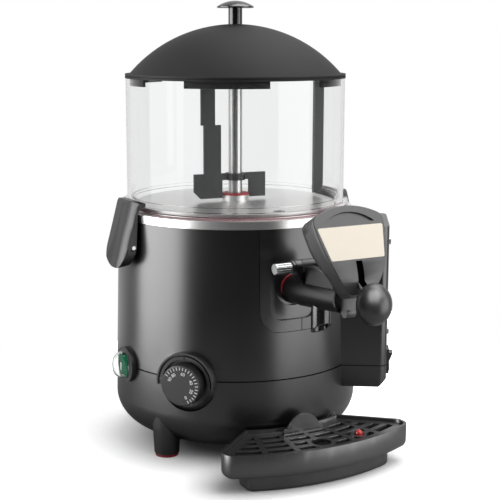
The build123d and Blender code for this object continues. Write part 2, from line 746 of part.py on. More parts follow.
collar_near = TAP_SEAT + TAP_SEAL_T
tap_seal = rod(TAP_SEAL_R, TAP_SEAT, collar_near, TAP_Z) - rod(SPIGOT_R, TAP_SEAT, collar_near, TAP_Z)
barrel = tap_run(TAP_STEP, BARREL_END, 0)
collar = tap_run(collar_near, TAP_STEP, TAP_STEP_H)
tap_body = rod(SPIGOT_R, OUTLET_END, collar_near, TAP_Z) + collar + barrel
lug_near = PIVOT_AT - LUG_R
lug_far = PIVOT_AT + LUG_R
saddle_outline = Polyline(
    (-SADDLE_HALF_W, SADDLE_LOW_Z),
    (SADDLE_HALF_W, SADDLE_LOW_Z),
    (LUG_OUT, PIVOT_Z - LUG_R / 2),
    (LUG_OUT, PIVOT_Z),
    (-LUG_OUT, PIVOT_Z),
    (-LUG_OUT, PIVOT_Z - LUG_R / 2),
    close=True,
)
saddle = Pos(0, -lug_near, 0) * extrude(Plane.XZ * make_face(saddle_outline), lug_far - lug_near)
saddle_top_z = tap_height(lug_near) + tap_half(lug_near)
lever_room = block(-LUG_IN, LUG_IN, lug_near, lug_far, saddle_top_z, PIVOT_Z)
lug = cross_rod(LUG_R, LUG_IN, LUG_OUT, PIVOT_AT, PIVOT_Z)
pin_neck = -LUG_OUT - PIN_BOSS_T
pin_boss = cross_rod(PIN_BOSS_R, pin_neck, -LUG_OUT, PIVOT_AT, PIVOT_Z)
tap_body += (saddle - lever_room) + lug + mirror(lug, Plane.YZ) + pin_boss
hood_near_z = tap_height(HOOD_NEAR) + tap_half(HOOD_NEAR)
hood_far_z = tap_height(HOOD_FAR) + tap_half(HOOD_FAR)
hood_arc = ThreePointArc((HOOD_NEAR, hood_near_z), (HOOD_AT, HOOD_TOP_Z), (HOOD_FAR, hood_far_z))
hood_base = Polyline(
    (HOOD_FAR, hood_far_z),
    (HOOD_FAR, tap_height(HOOD_FAR)),
    (HOOD_NEAR, tap_height(HOOD_NEAR)),
    (HOOD_NEAR, hood_near_z),
)
side_plane = Plane(origin=(0, 0, 0), x_dir=(0, -1, 0), z_dir=(-1, 0, 0))
hood = extrude(side_plane.offset(HOOD_IN) * make_face([hood_arc, hood_base]), HOOD_OUT - HOOD_IN)
hood_edges = hood.edges().filter_by(GeomType.CIRCLE).group_by(Axis.X)[0]
hood = fillet(hood_edges, HOOD_EDGE)
tap_body += hood - cross_rod(LUG_R + TOUCH_GAP, -LUG_IN, LUG_IN, PIVOT_AT, PIVOT_Z)
tap_body = tap_body - rod(OUTLET_BORE_R, OUTLET_END, BARREL_BACK, TAP_Z)
tap_body = tap_body - tap_run(BARREL_BACK, BARREL_END, BARREL_WALL)
spout_bore = stud(SPOUT_BORE_R, 0, SPOUT_AT, SPOUT_LOW_Z, TAP_Z)
tap_body = tap_body - spout_bore
tap_body = tap_body - cross_rod(PIVOT_R, pin_neck, LUG_OUT, PIVOT_AT, PIVOT_Z)
tap_body = tap_body - stud(STEM_R + TOUCH_GAP, 0, SPOUT_AT, TAP_Z, PIVOT_Z)
cut_size = 4 * SPOUT_R
cut_box = Box(cut_size, 2 * cut_size, cut_size, align=(Align.CENTER, Align.CENTER, Align.MAX))
spout_tool = Pos(0, SPOUT_R - SPOUT_AT, SPOUT_LOW_Z) * Rot(-SPOUT_CUT, 0, 0) * cut_box
spout = stud(SPOUT_R, 0, SPOUT_AT, SPOUT_LOW_Z, TAP_Z) - spout_bore - spout_tool - barrel
plug_far = BARREL_END - PLUG_SINK
barrel_plug = tap_run(plug_far - PLUG_T, plug_far, BARREL_WALL)
pivot_pin = cross_rod(PIVOT_R, pin_neck, LUG_OUT, PIVOT_AT, PIVOT_Z)
pin_head = cross_rod(PIN_HEAD_R, pin_neck - PIN_HEAD_L, pin_neck, PIVOT_AT, PIVOT_Z)
for step in range(PIN_FLUTES):
    turn = 2 * math.pi * step / PIN_FLUTES
    flute_at = PIVOT_AT + PIN_HEAD_R * math.cos(turn)
    flute_z = PIVOT_Z + PIN_HEAD_R * math.sin(turn)
    pin_head = pin_head - cross_rod(PIN_FLUTE_R, pin_neck - PIN_HEAD_L + 2, pin_neck, flute_at, flute_z)
pivot_pin += pin_head
head_top_z = STEM_HEAD_Z + STEM_HEAD_T
plunger = stud(PLUNGER_R, 0, SPOUT_AT, PLUNGER_LOW_Z, PLUNGER_TOP_Z)
plunger += stud(STEM_R, 0, SPOUT_AT, PLUNGER_LOW_Z, head_top_z)
plunger += stud(STEM_HEAD_R, 0, SPOUT_AT, STEM_HEAD_Z, head_top_z)
seal_low_z = PLUNGER_LOW_Z + PLUNGER_SEAL_LOW
seal_high_z = seal_low_z + PLUNGER_SEAL_H
plunger_seal = Pos(0, -SPOUT_AT, 0) * ring(PLUNGER_R, PLUNGER_SEAL_R, seal_low_z, seal_high_z)
plunger = plunger - plunger_seal
spring_out_r = SPRING_R + SPRING_WIRE
spring_back = SPOUT_AT - spring_out_r
bore_share = math.sqrt(1 - (spring_out_r / (TAP_HALF_W - BARREL_WALL)) ** 2)
bore_top_z = tap_height(spring_back) + (tap_half(spring_back) - BARREL_WALL) * bore_share
spring_h = bore_top_z - PLUNGER_TOP_Z - 2 * SPRING_WIRE - 0.4
spring_path = Helix(spring_h / SPRING_TURNS, spring_h, SPRING_R)
spring_start = Plane(origin=spring_path @ 0, z_dir=spring_path % 0)
spring_low_z = PLUNGER_TOP_Z + SPRING_WIRE
spring = Pos(0, -SPOUT_AT, spring_low_z) * sweep(spring_start * Circle(SPRING_WIRE), path=spring_path)

# Handle, its plate drawn in its own plane with y pointing up the plate
plate_plane = Plane(
    origin=(0, -PLATE_AT, PLATE_Z),
    x_dir=(1, 0, 0),
    z_dir=(0, -math.cos(math.radians(PLATE_TILT)), math.sin(math.radians(PLATE_TILT))),
)


def plate_face(inset):
    """Outline of the lever plate, less an inset."""
    wide = PLATE_HALF_W - inset
    crown = ThreePointArc((-wide, PLATE_SHOULDER), (0, PLATE_CROWN - inset), (wide, PLATE_SHOULDER))
    low = -PLATE_FOOT + inset
    foot_w = PLATE_FOOT_W - inset
    waist = PLATE_WAIST_W - inset
    hip = PLATE_HIP_W - inset
    right = Spline((wide, PLATE_SHOULDER), (hip, -PLATE_HIP), (waist, -PLATE_WAIST), (foot_w, low))
    left = mirror(right, Plane.YZ)
    face = make_face([crown, right, Line((foot_w, low), (-foot_w, low)), left])
    corners = face.vertices().sort_by(Axis.Y)
    face = fillet(corners[2:], PLATE_CORNER - inset)
    return fillet(face.vertices().sort_by(Axis.Y)[:2], PLATE_CORNER - inset)


def plate_side(up, out):
    """Place on the plate's middle line as distance in front and height."""
    tilt = math.radians(PLATE_TILT)
    at = PLATE_AT - up * math.sin(tilt) + out * math.cos(tilt)
    return (at, PLATE_Z + up * math.cos(tilt) + out * math.sin(tilt))


def across(*lines):
    """Prism across the whole handle of an outline given as distance in front and height."""
    face = Plane(origin=(0, 0, 0), x_dir=(0, -1, 0), z_dir=(-1, 0, 0)) * make_face(lines)
    return Pos(2 * PLATE_HALF_W, 0, 0) * extrude(face, 4 * PLATE_HALF_W)


plate_high = 2 * PLATE_CROWN
bend_start = plate_side(-PLATE_BEND, 0)
bend = JernArc(
    start=bend_start,
    tangent=(math.sin(math.radians(PLATE_TILT)), -math.cos(math.radians(PLATE_TILT))),
    radius=PLATE_BEND_R,
    arc_size=-PLATE_TILT,
)
foot_at = (bend @ 1).X
foot_z = plate_side(-PLATE_FOOT, -PLATE_T)[1]
face_line = Polyline(plate_side(plate_high, 0), bend_start)
plate_back = across(
    face_line,
    bend,
    Polyline(bend @ 1, (foot_at, 0), (0, 0), (0, plate_side(plate_high, 0)[1]), plate_side(plate_high, 0)),
)
plate_slab = across(
    face_line,
    bend,
    Polyline(
        bend @ 1,
        (foot_at, foot_z),
        (foot_at - FOOT_T, foot_z),
        (KNEE_AT, KNEE_Z),
        plate_side(-PLATE_BREAK, -PLATE_T),
        plate_side(plate_high, -PLATE_T),
        plate_side(plate_high, 0),
    ),
)
hollow_low = plate_side(-PLATE_BEND, -PLATE_SKIN)
plate_hollow = across(
    Polyline(
        plate_side(plate_high, -PLATE_SKIN),
        hollow_low,
        (0, hollow_low[1]),
        (0, plate_side(plate_high, -PLATE_SKIN)[1]),
        close=True,
    )
)
plate_run = 4 * PLATE_T
plate_form = plate_slab & extrude(plate_plane.offset(plate_run / 2) * plate_face(0), -plate_run)
plate_front = plate_form.faces().filter_by(lambda face: face.normal_at().Y < -0.8)
plate_form = fillet(plate_front.edges().filter_by(Axis.X, reverse=True), PLATE_EDGE)
handle = plate_form - (plate_hollow & extrude(plate_plane * plate_face(PLATE_SHELL), -plate_run))


def arm_low(at):
    """Lower edge of the lever's arms, clear of the tap."""
    return tap_height(at) + tap_half(at) + ARM_LIFT


tongue_near = BARREL_END + TONGUE_GAP
handle = handle - (
    across(
        Polyline(
            (TAP_STEP, arm_low(TAP_STEP)),
            (tongue_near, arm_low(tongue_near)),
            (tongue_near, 0),
            (TAP_STEP, 0),
            close=True,
        )
    )
)
arm_outline = Polyline(
    (PIVOT_AT, PIVOT_Z + LUG_R),
    (PIVOT_AT, arm_low(PIVOT_AT)),
    (BARREL_END, arm_low(BARREL_END)),
    (BARREL_END + ARM_TIP, arm_low(BARREL_END)),
    (BARREL_END + ARM_TIP / 2, PIVOT_Z + ARM_CROWN),
    (BARREL_END, PIVOT_Z + ARM_CROWN),
    (PIVOT_AT + ARM_ELBOW, PIVOT_Z + ARM_ELBOW_RISE),
    close=True,
)
arm_side = Pos(HANDLE_ARM_OUT, 0, 0) * extrude(side_plane * make_face(arm_outline), HANDLE_ARM_OUT - ARM_IN)
ledge_top_z = STEM_HEAD_Z - LEDGE_GAP
ledge_near = SPOUT_AT - LEDGE_HALF
ledge_far = SPOUT_AT + LEDGE_HALF
arm_side += block(LEDGE_IN, ARM_IN, ledge_near, ledge_far, ledge_top_z - LEDGE_T, ledge_top_z)
hinge_tube = cross_rod(LUG_R, -HANDLE_ARM_OUT, HANDLE_ARM_OUT, PIVOT_AT, PIVOT_Z)
tongue_end_z = TONGUE_LOW_Z + TONGUE_W
tongue = block(-TONGUE_W, TONGUE_W, tongue_near, tongue_near + TONGUE_T, tongue_end_z, TONGUE_TOP_Z)
tongue += cross_rod(TONGUE_W, -TONGUE_W, TONGUE_W, tongue_near + TONGUE_W, tongue_end_z)
tongue_far = BALL_STUD_AT + TONGUE_W
tongue += block(-TONGUE_W, TONGUE_W, tongue_near, tongue_far, arm_low(BARREL_END), TONGUE_TOP_Z)
handle += (tongue + arm_side) & plate_back
handle += hinge_tube
ball = Pos(0, -BALL_AT, BALL_Z) * scale(Sphere(1), by=(BALL_R, BALL_R, BALL_LONG_R))
ball_room = Pos(0, -BALL_AT, BALL_Z) * scale(
    Sphere(1), by=(BALL_R + TOUCH_GAP, BALL_R + TOUCH_GAP, BALL_LONG_R + TOUCH_GAP)
)
stud_run = (BALL_AT - BALL_STUD_AT, BALL_STUD_Z - BALL_Z)
stud_plane = Plane(origin=(0, -BALL_STUD_AT, BALL_STUD_Z), z_dir=(0, -stud_run[0], -stud_run[1]))
ball_stud = extrude(stud_plane * Circle(BALL_STUD_R), math.hypot(*stud_run))
handle = (handle - ball_room) + ball_stud
ball_knob = ball - ball_stud
handle = handle - cross_rod(PIVOT_R + RUN_GAP, -LUG_OUT, LUG_OUT, PIVOT_AT, PIVOT_Z)
slot_top_z = plate_side(-SIGN_H - SLOT_GAP, 0)[1]
slot_room = block(-SLOT_W / 2, SLOT_W / 2, 0, 2 * PLATE_AT, 0, slot_top_z)
handle = handle - (slot_room - Pos(0, SLOT_DEPTH, 0) * plate_back)
recess = make_face(
    [
        ThreePointArc((-RECESS_HALF_W, RECESS_LOW), (0, RECESS_HIGH), (RECESS_HALF_W, RECESS_LOW)),
        Line((RECESS_HALF_W, RECESS_LOW), (-RECESS_HALF_W, RECESS_LOW)),
    ]
)
handle = handle - extrude(plate_plane * recess, -RECESS_DEPTH)
sign_outline = Polyline(
    (-SIGN_TOP_W, 0), (SIGN_TOP_W, 0), (SIGN_LOW_W, -SIGN_H), (-SIGN_LOW_W, -SIGN_H), close=True
)
sign_face = make_face(sign_outline)
sign_face = fillet(sign_face.vertices(), 1.6)
sign_plate = extrude(plate_plane.offset(-SIGN_SINK) * sign_face, SIGN_T)
handle = handle - extrude(plate_plane.offset(-SIGN_SINK) * sign_face, 2 * SIGN_T)

# Dial bezel, dial, thermostat
bezel_turn = facing(DIAL_ANGLE)
bezel_soft = BEZEL_FACE - BEZEL_SOFT
dial_bezel = rod(BEZEL_R, BEZEL_BACK, BEZEL_RIDGE, DIAL_Z)
bezel_groove = rod(BEZEL_GROOVE_R, BEZEL_FACE, BEZEL_RIDGE, DIAL_Z)
bezel_groove = bezel_groove - rod(BEZEL_LIP_R, BEZEL_FACE, BEZEL_RIDGE, DIAL_Z)
dial_bezel = dial_bezel - bezel_groove
dial_bezel = dial_bezel - rod(BEZEL_WELL_R, BEZEL_FACE - 1, BEZEL_RIDGE, DIAL_Z)
dial_bezel = dial_bezel - rod(SPINDLE_R + RUN_GAP, BEZEL_BACK, BEZEL_FACE, DIAL_Z)
bezel_low_z = DIAL_Z - 2 * BEZEL_R
bezel_cut = block(-BEZEL_R, BEZEL_R, bezel_soft, BEZEL_RIDGE, bezel_low_z, DIAL_Z - BEZEL_HALF_Z)
bezel_cone = Pos(0, -bezel_soft, DIAL_Z) * Rot(90, 0, 0) * Cone(
    BEZEL_R, BEZEL_WELL_R + 1, BEZEL_SOFT, align=(Align.CENTER, Align.CENTER, Align.MIN)
)
dial_bezel = dial_bezel - (bezel_cut - bezel_cone)
pointer = block(-0.6, 0.6, BEZEL_RIDGE - 0.8, BEZEL_RIDGE, DIAL_Z + BEZEL_WELL_R, DIAL_Z + BEZEL_LIP_R)
dial_bezel = bezel_turn * (dial_bezel - pointer)
dial_form = Pos(0, -DIAL_BACK, DIAL_Z) * Rot(90, 0, 0) * Cone(
    DIAL_R + DIAL_TAPER, DIAL_R, DIAL_FRONT - DIAL_BACK, align=(Align.CENTER, Align.CENTER, Align.MIN)
)
dial_form = chamfer(dial_form.edges().group_by(Axis.Y)[0], 0.8)
dial_seat = (DIAL_BACK + DIAL_FRONT) / 2
dial = bezel_turn * (dial_form - rod(SPINDLE_R, DIAL_BACK, dial_seat, DIAL_Z))
thermo_back = BEZEL_BACK - THERMO_D
spindle = bezel_turn * rod(SPINDLE_R, BEZEL_BACK - 8, dial_seat, DIAL_Z)
thermo_half = THERMO_W / 2
thermo_low_z = DIAL_Z - thermo_half
thermo_high_z = DIAL_Z + thermo_half
thermostat = block(-thermo_half, thermo_half, thermo_back, BEZEL_BACK, thermo_low_z, thermo_high_z)
thermostat = bezel_turn * (thermostat - rod(SPINDLE_R + RUN_GAP, BEZEL_BACK - 9, BEZEL_BACK, DIAL_Z))

# Heat switch
heat_turn = facing(HEAT_ANGLE)
heat_pivot = HEAT_FACE - ROCKER_PIVOT_BACK


def rocker(width, height, pivot, proud, z, x=0.0):
    """Rocker cap that turns on trunnions along X, with a shallow V front."""
    half = height / 2
    front = pivot + ROCKER_PIVOT_BACK + proud
    outline = Polyline(
        (pivot - 3, z - half + 1.2),
        (front - 0.4, z - half + 0.4),
        (front - 2.2, z),
        (front, z + half - 0.4),
        (pivot - 3, z + half - 1.2),
        close=True,
    )
    cap = Pos(x + width / 2, 0, 0) * extrude(side_plane * make_face(outline), width)
    reach = width / 2 + TRUNNION_L
    cap += cross_rod(TRUNNION_R, x - reach, x + reach, pivot, z)
    return cap.rotate(Axis((0, -pivot, z), (1, 0, 0)), ROCKER_TILT)


def rocker_room(width, height, pivot, face, z, x=0.0):
    """Room for a rocker and its trunnions inside a switch body."""
    wide = width / 2 + ROCKER_GAP
    tall = height / 2 + ROCKER_GAP
    reach = width / 2 + TRUNNION_L + TOUCH_GAP
    well = block(x - wide, x + wide, pivot - ROCKER_DEEP, face, z - tall, z + tall)
    return well + cross_rod(TRUNNION_R + RUN_GAP, x - reach, x + reach, pivot, z)


wall_cores = case_solid + bowl_solid
heat_rim = (heat_turn * rod(HEAT_R, SEAM_R - 8, HEAT_FACE, HEAT_Z)) - wall_cores
heat_bezel = heat_rim + heat_turn * rod(HEAT_PLUG_R, HEAT_BACK, HEAT_FACE, HEAT_Z)
heat_bezel = heat_bezel - heat_turn * rocker_room(ROCKER_W, ROCKER_H, heat_pivot, HEAT_FACE, HEAT_Z)
heat_rocker = heat_turn * rocker(ROCKER_W, ROCKER_H, heat_pivot, ROCKER_PROUD, HEAT_Z)
cover_half_w = ROCKER_W / 2 + HEAT_COVER_GAP
cover_half_h = ROCKER_H / 2 + HEAT_COVER_GAP
cover_far = HEAT_FACE + HEAT_COVER_OUT
heat_cover = block(
    -cover_half_w - HEAT_COVER_T,
    cover_half_w + HEAT_COVER_T,
    HEAT_FACE,
    cover_far,
    HEAT_Z - cover_half_h - HEAT_COVER_T,
    HEAT_Z + cover_half_h + HEAT_COVER_T,
)
heat_cover = fillet(heat_cover.edges().group_by(Axis.Y)[0], 3.0)
heat_cover = heat_cover - block(
    -cover_half_w,
    cover_half_w,
    HEAT_FACE,
    cover_far - HEAT_COVER_T,
    HEAT_Z - cover_half_h,
    HEAT_Z + cover_half_h,
)
heat_cover = heat_turn * heat_cover

# Side cover and power switch
side_turn = facing(HOUSING_ANGLE)
cover_in = HOUSING_OUT - COVER_T
cover_left = -HOUSING_NEAR + COVER_RIM
cover_right = HOUSING_FAR - COVER_RIM
cover_top_z = HOUSING_TOP - COVER_RIM


def cover_block(inset, near, far):
    """Block under the side cover's outline, less an inset."""
    return block(
        cover_left + inset, cover_right - inset, near, far, COVER_LOW_Z + inset, cover_top_z - inset
    )


def cover_plate(inset):
    """Side cover's place in the housing, with rounded corners."""
    plate = cover_block(inset, cover_in, HOUSING_OUT)
    return fillet(plate.edges().filter_by(Axis.Y), COVER_CORNER - inset)


side_cover = cover_plate(TOUCH_GAP)
cover_room = cover_plate(0) + cover_block(COVER_SEAT, cover_in - WALL, cover_in)
power_frame_out = HOUSING_OUT + POWER_PROUD
power_half_w = POWER_W / 2 + POWER_RIM
power_half_h = POWER_H / 2 + POWER_RIM
power_pivot = power_frame_out - ROCKER_PIVOT_BACK
power_near = power_frame_out - POWER_DEEP
power_hole = block(
    POWER_X - power_half_w + 1,
    POWER_X + power_half_w - 1,
    power_near,
    HOUSING_OUT,
    POWER_Z - power_half_h + 1,
    POWER_Z + power_half_h - 1,
)
power_frame = power_hole + block(
    POWER_X - power_half_w,
    POWER_X + power_half_w,
    HOUSING_OUT,
    power_frame_out,
    POWER_Z - power_half_h,
    POWER_Z + power_half_h,
)
power_cap_w = POWER_W - 2 * ROCKER_GAP
power_cap_h = POWER_H - 2 * ROCKER_GAP
power_room = rocker_room(power_cap_w, power_cap_h, power_pivot, power_frame_out, POWER_Z, POWER_X)
power_frame = side_turn * (power_frame - power_room)
power_rocker = side_turn * rocker(power_cap_w, power_cap_h, power_pivot, POWER_PROUD, POWER_Z, POWER_X)
cover_screw_in = COVER_SEAT / 2
cover_screw_spots = [
    (x, z)
    for x in (cover_left + cover_screw_in, cover_right - cover_screw_in)
    for z in (COVER_LOW_Z + cover_screw_in, cover_top_z - cover_screw_in)
]
cover_screws = []
for x, z in cover_screw_spots:
    shank = rod(SCREW_R, cover_in - WALL, HOUSING_OUT, z, x)
    screw = shank + rod(SCREW_HEAD_R, HOUSING_OUT, HOUSING_OUT + SCREW_HEAD_H, z, x)
    cover_screws.append(side_turn * screw)
    side_cover = side_cover - shank
    cover_room += shank
side_cover = side_turn * side_cover
cover_screws = Compound(children=cover_screws)
casing = casing - side_turn * (cover_room + power_hole)
base = base - side_turn * power_hole

# Latches, drawn on the right side and mirrored to the left
latch_tip_r = case_radius(LATCH_TIP_Z) + LATCH_TIP_OUT
latch_bend_r = case_radius(LATCH_BEND_Z) + LATCH_BEND_OUT
latch_waist_r = case_radius(LATCH_WAIST_Z) + LATCH_WAIST_OUT
latch_top_r = BATH_R + LATCH_TOP_OUT
hook_in = FLANGE_R - HOOK_GRIP
pin_x = case_radius(PIN_Z) + PIN_OUT


def latch_front(inset):
    """Outer edge of a latch's section, less an inset."""
    return Spline(
        (latch_tip_r - inset, LATCH_TIP_Z + 4),
        (latch_bend_r - inset, LATCH_BEND_Z),
        (latch_waist_r - inset, LATCH_WAIST_Z),
        (latch_top_r - inset, LATCH_TOP_Z),
    )


def latch_shield(inset):
    """Prism of a latch's outline seen from its side of the machine, less an inset."""
    wide = LATCH_HALF_W - inset
    tongue_w = LATCH_TONGUE_W - inset
    top = Polyline(
        (-wide, LATCH_STRAIGHT_Z), (-wide, HOOK_TOP_Z), (wide, HOOK_TOP_Z), (wide, LATCH_STRAIGHT_Z)
    )
    tip = Spline(
        (wide, LATCH_STRAIGHT_Z),
        (tongue_w, LATCH_TONGUE_Z + inset),
        (0, LATCH_TIP_Z + inset),
        (-tongue_w, LATCH_TONGUE_Z + inset),
        (-wide, LATCH_STRAIGHT_Z),
    )
    return extrude(Plane.YZ * make_face([top, tip]), 2 * BASE_R)


hook_low_z = flange_top_z + TOUCH_GAP
tip_in_r = latch_tip_r - 1.5 * LATCH_SKIN
latch_back = Polyline(
    (latch_top_r, LATCH_TOP_Z),
    (latch_top_r - LATCH_SKIN / 2, HOOK_TOP_Z),
    (hook_in, HOOK_TOP_Z),
    (hook_in, hook_low_z),
    (FLANGE_R + 1, hook_low_z),
    (BATH_R + 0.8, BATH_RIM_Z + 1),
    (case_radius(PIN_Z) + 1.3, PIN_Z),
    (case_radius(PIN_Z) + 2.4, PIN_Z - 2 * EAR_R),
    (tip_in_r - 2 * LATCH_SKIN, LATCH_TONGUE_Z - 1.5),
    (tip_in_r, LATCH_TIP_Z + 1.5),
)
latch_tip = ThreePointArc(
    (tip_in_r, LATCH_TIP_Z + 1.5),
    (latch_tip_r - 0.7 * LATCH_SKIN, LATCH_TIP_Z),
    (latch_tip_r, LATCH_TIP_Z + 4),
)
latch_slab = extrude(Plane.XZ * make_face([latch_front(0), latch_back, latch_tip]), LATCH_HALF_W, both=True)
hollow_back = Polyline(
    (latch_top_r - LATCH_SKIN, LATCH_TOP_Z),
    (hook_in, LATCH_TOP_Z),
    (hook_in, LATCH_TIP_Z + 4),
    (latch_tip_r - LATCH_SKIN, LATCH_TIP_Z + 4),
)
hollow_face = make_face([latch_front(LATCH_SKIN), hollow_back])
hollow_slab = extrude(Plane.XZ * hollow_face, LATCH_HALF_W - LATCH_CHEEK, both=True)
latch_hollow = hollow_slab & latch_shield(LATCH_CHEEK) & disc(2 * BASE_R, 0, PIN_Z + LATCH_HOLLOW)
dish_low = Vector(latch_tip_r - DISH_LOW, 0, LATCH_TIP_Z + 4)
dish_run = Vector(latch_top_r - DISH_HIGH, 0, LATCH_TOP_Z) - dish_low
dish_axis = dish_low + Vector(dish_run.Z, 0, -dish_run.X).normalized() * DISH_R
latch_dish = Plane(origin=dish_axis, z_dir=dish_run) * Cylinder(DISH_R, 4 * LATCH_TOP_Z)
latch_right = (latch_slab & latch_shield(0)) - latch_hollow - latch_dish
pin_line = Pos(pin_x, 0, PIN_Z) * Rot(90, 0, 0)
latch_right = latch_right - pin_line * Cylinder(LATCH_PIN_R + RUN_GAP, 3 * LATCH_HALF_W)
latch_pin = pin_line * Cylinder(LATCH_PIN_R, 2 * LATCH_HALF_W - 1)
ear = pin_line * Cylinder(EAR_R, EAR_W)
ear += Pos(pin_x - EAR_R, 0, PIN_Z) * Box(2 * EAR_R, EAR_W, 2 * EAR_R)
ear_pair = (Pos(0, EAR_AT, 0) * ear + Pos(0, -EAR_AT, 0) * ear) - case_solid - latch_pin
latch_left = mirror(latch_right, Plane.YZ)
latch_brackets = Compound(children=[*ear_pair.solids(), *mirror(ear_pair, Plane.YZ).solids()])
latch_pins = Compound(children=[*latch_pin.solids(), *mirror(latch_pin, Plane.YZ).solids()])

# Bowed front of the tray
tray_arc_r = (TRAY_HALF_W**2 + TRAY_BOW**2) / (2 * TRAY_BOW)
tray_arc_back = tray_arc_r - TRAY_REACH
tray_corner_at = TRAY_REACH - TRAY_BOW


def tray_face(inset):
    """Plan of the tray: bowed front, slanted sides, back hollowed to clear the base."""
    arc_r = tray_arc_r - inset
    wide = TRAY_HALF_W - inset
    back_r = TRAY_BACK_R + inset
    back_w = TRAY_BACK_HALF_W - inset * 0.4
    front_at = math.sqrt(arc_r**2 - wide**2) - tray_arc_back
    back_at = math.sqrt(back_r**2 - back_w**2)
    side_at = tray_corner_at - TRAY_SIDE + inset * 0.6
    front = ThreePointArc((-wide, -front_at), (0, tray_arc_back - arc_r), (wide, -front_at))
    right = Polyline((wide, -front_at), (wide, -side_at), (back_w, -back_at))
    back = ThreePointArc((back_w, -back_at), (0, -back_r), (-back_w, -back_at))
    left = Polyline((-back_w, -back_at), (-wide, -side_at), (-wide, -front_at))
    face = make_face([front, right, back, left])
    round_r = max(TRAY_CORNER - inset, 2.0)
    outer = face.vertices().sort_by(Axis.X)
    return fillet(outer[:2] + outer[-2:], round_r)


def step_face(inset):
    """Plan of the tray's smaller lower tier."""
    arc_r = tray_arc_r - STEP_INSET - inset
    wide = STEP_HALF_W - inset
    front_at = math.sqrt(arc_r**2 - wide**2) - tray_arc_back
    back_at = STEP_BACK + inset
    front = ThreePointArc((-wide, -front_at), (0, tray_arc_back - arc_r), (wide, -front_at))
    rest = Polyline((wide, -front_at), (wide, -back_at), (-wide, -back_at), (-wide, -front_at))
    face = make_face([front, rest])
    return fillet(face.vertices(), 9.0 - inset)


# Tray
upper_tier = extrude(Plane.XY.offset(TRAY_STEP_Z) * tray_face(0), TRAY_TOP_Z - TRAY_STEP_Z)
upper_tier = fillet(upper_tier.edges().group_by(Axis.Z)[0], TRAY_ROUND)
lower_tier = extrude(step_face(0), TRAY_STEP_Z + 3)
lower_tier = fillet(lower_tier.edges().group_by(Axis.Z)[0], 4.0)
tray = upper_tier + lower_tier
upper_hollow = extrude(Plane.XY.offset(TRAY_STEP_Z + TRAY_WALL) * tray_face(TRAY_WALL + LEDGE_W), LEDGE_Z)
top_hollow = extrude(Plane.XY.offset(LEDGE_Z) * tray_face(TRAY_WALL), TRAY_TOP_Z)
lower_hollow = extrude(Plane.XY.offset(TRAY_WALL) * step_face(TRAY_WALL), TRAY_STEP_Z + TRAY_WALL)
tray = tray - upper_hollow - top_hollow - lower_hollow

# Grille
grille_top_z = LEDGE_Z + GRILLE_T
grille = extrude(Plane.XY.offset(LEDGE_Z) * tray_face(TRAY_WALL + GRILLE_GAP), GRILLE_T)
slot_field = extrude(Plane.XY.offset(LEDGE_Z - 1) * tray_face(TRAY_WALL + 7), GRILLE_T + 2)
slot_field = slot_field - stud(GRILLE_HOLE_R + 4, 0, GRILLE_HOLE_AT, 0, TRAY_TOP_Z)
slot_field = slot_field - stud(FLOAT_HOLE_R + 3, FLOAT_X, FLOAT_AT, 0, TRAY_TOP_Z)
tab_room = TAB_BASE_W + TAB_T
slot_field = slot_field - block(-tab_room, tab_room, TRAY_BACK_R, TAB_AT + 2 * TAB_T, 0, TRAY_TOP_Z)
slots = Part()
for row in range(GRILLE_ROWS):
    row_r = tray_arc_r - GRILLE_ROW_INSET - row * GRILLE_ROW_STEP
    half_slot = GRILLE_SLOT_W / 2
    band = ring(row_r + half_slot, row_r - half_slot, LEDGE_Z - 1, grille_top_z + 1)
    for step in range(-3, 5):
        middle = (step - 0.5) * GRILLE_PITCH_DEG
        slot_reach = row_r * math.tan(math.radians(GRILLE_SLOT_DEG / 2))
        wedge = block(-slot_reach, slot_reach, row_r - 9, row_r + 9, LEDGE_Z - 1, grille_top_z + 1)
        slots += Pos(0, tray_arc_back, 0) * facing(middle) * (band & wedge)
grille = grille - (slots & slot_field)
grille = grille - stud(GRILLE_HOLE_R, 0, GRILLE_HOLE_AT, 0, TRAY_TOP_Z)
grille = grille - stud(FLOAT_HOLE_R, FLOAT_X, FLOAT_AT, 0, TRAY_TOP_Z)
tab_face = make_face(
    [
        Polyline(
            (-TAB_ROUND_W, TAB_BASE_Z),
            (-TAB_BASE_W, TAB_BASE_Z),
            (-TAB_BASE_W, grille_top_z),
            (TAB_BASE_W, grille_top_z),
            (TAB_BASE_W, TAB_BASE_Z),
            (TAB_ROUND_W, TAB_BASE_Z),
        ),
        ThreePointArc((TAB_ROUND_W, TAB_BASE_Z), (0, TAB_TOP_Z), (-TAB_ROUND_W, TAB_BASE_Z)),
    ]
)
grille += Pos(0, -TAB_AT, 0) * extrude(Plane.XZ * tab_face, TAB_T)

# Float
float_body_top = FLOAT_LOW_Z + FLOAT_BODY_H
tray_float = stud(FLOAT_BODY_R, FLOAT_X, FLOAT_AT, FLOAT_LOW_Z, float_body_top)
tray_float += stud(FLOAT_R, FLOAT_X, FLOAT_AT, FLOAT_LOW_Z, FLOAT_TOP_Z - FLOAT_R)
tray_float += Pos(FLOAT_X, -FLOAT_AT, FLOAT_TOP_Z - FLOAT_R) * Sphere(FLOAT_R)
float_post = stud(FLOAT_R - 1, FLOAT_X, FLOAT_AT, TRAY_WALL, FLOAT_LOW_Z)
tray += float_post

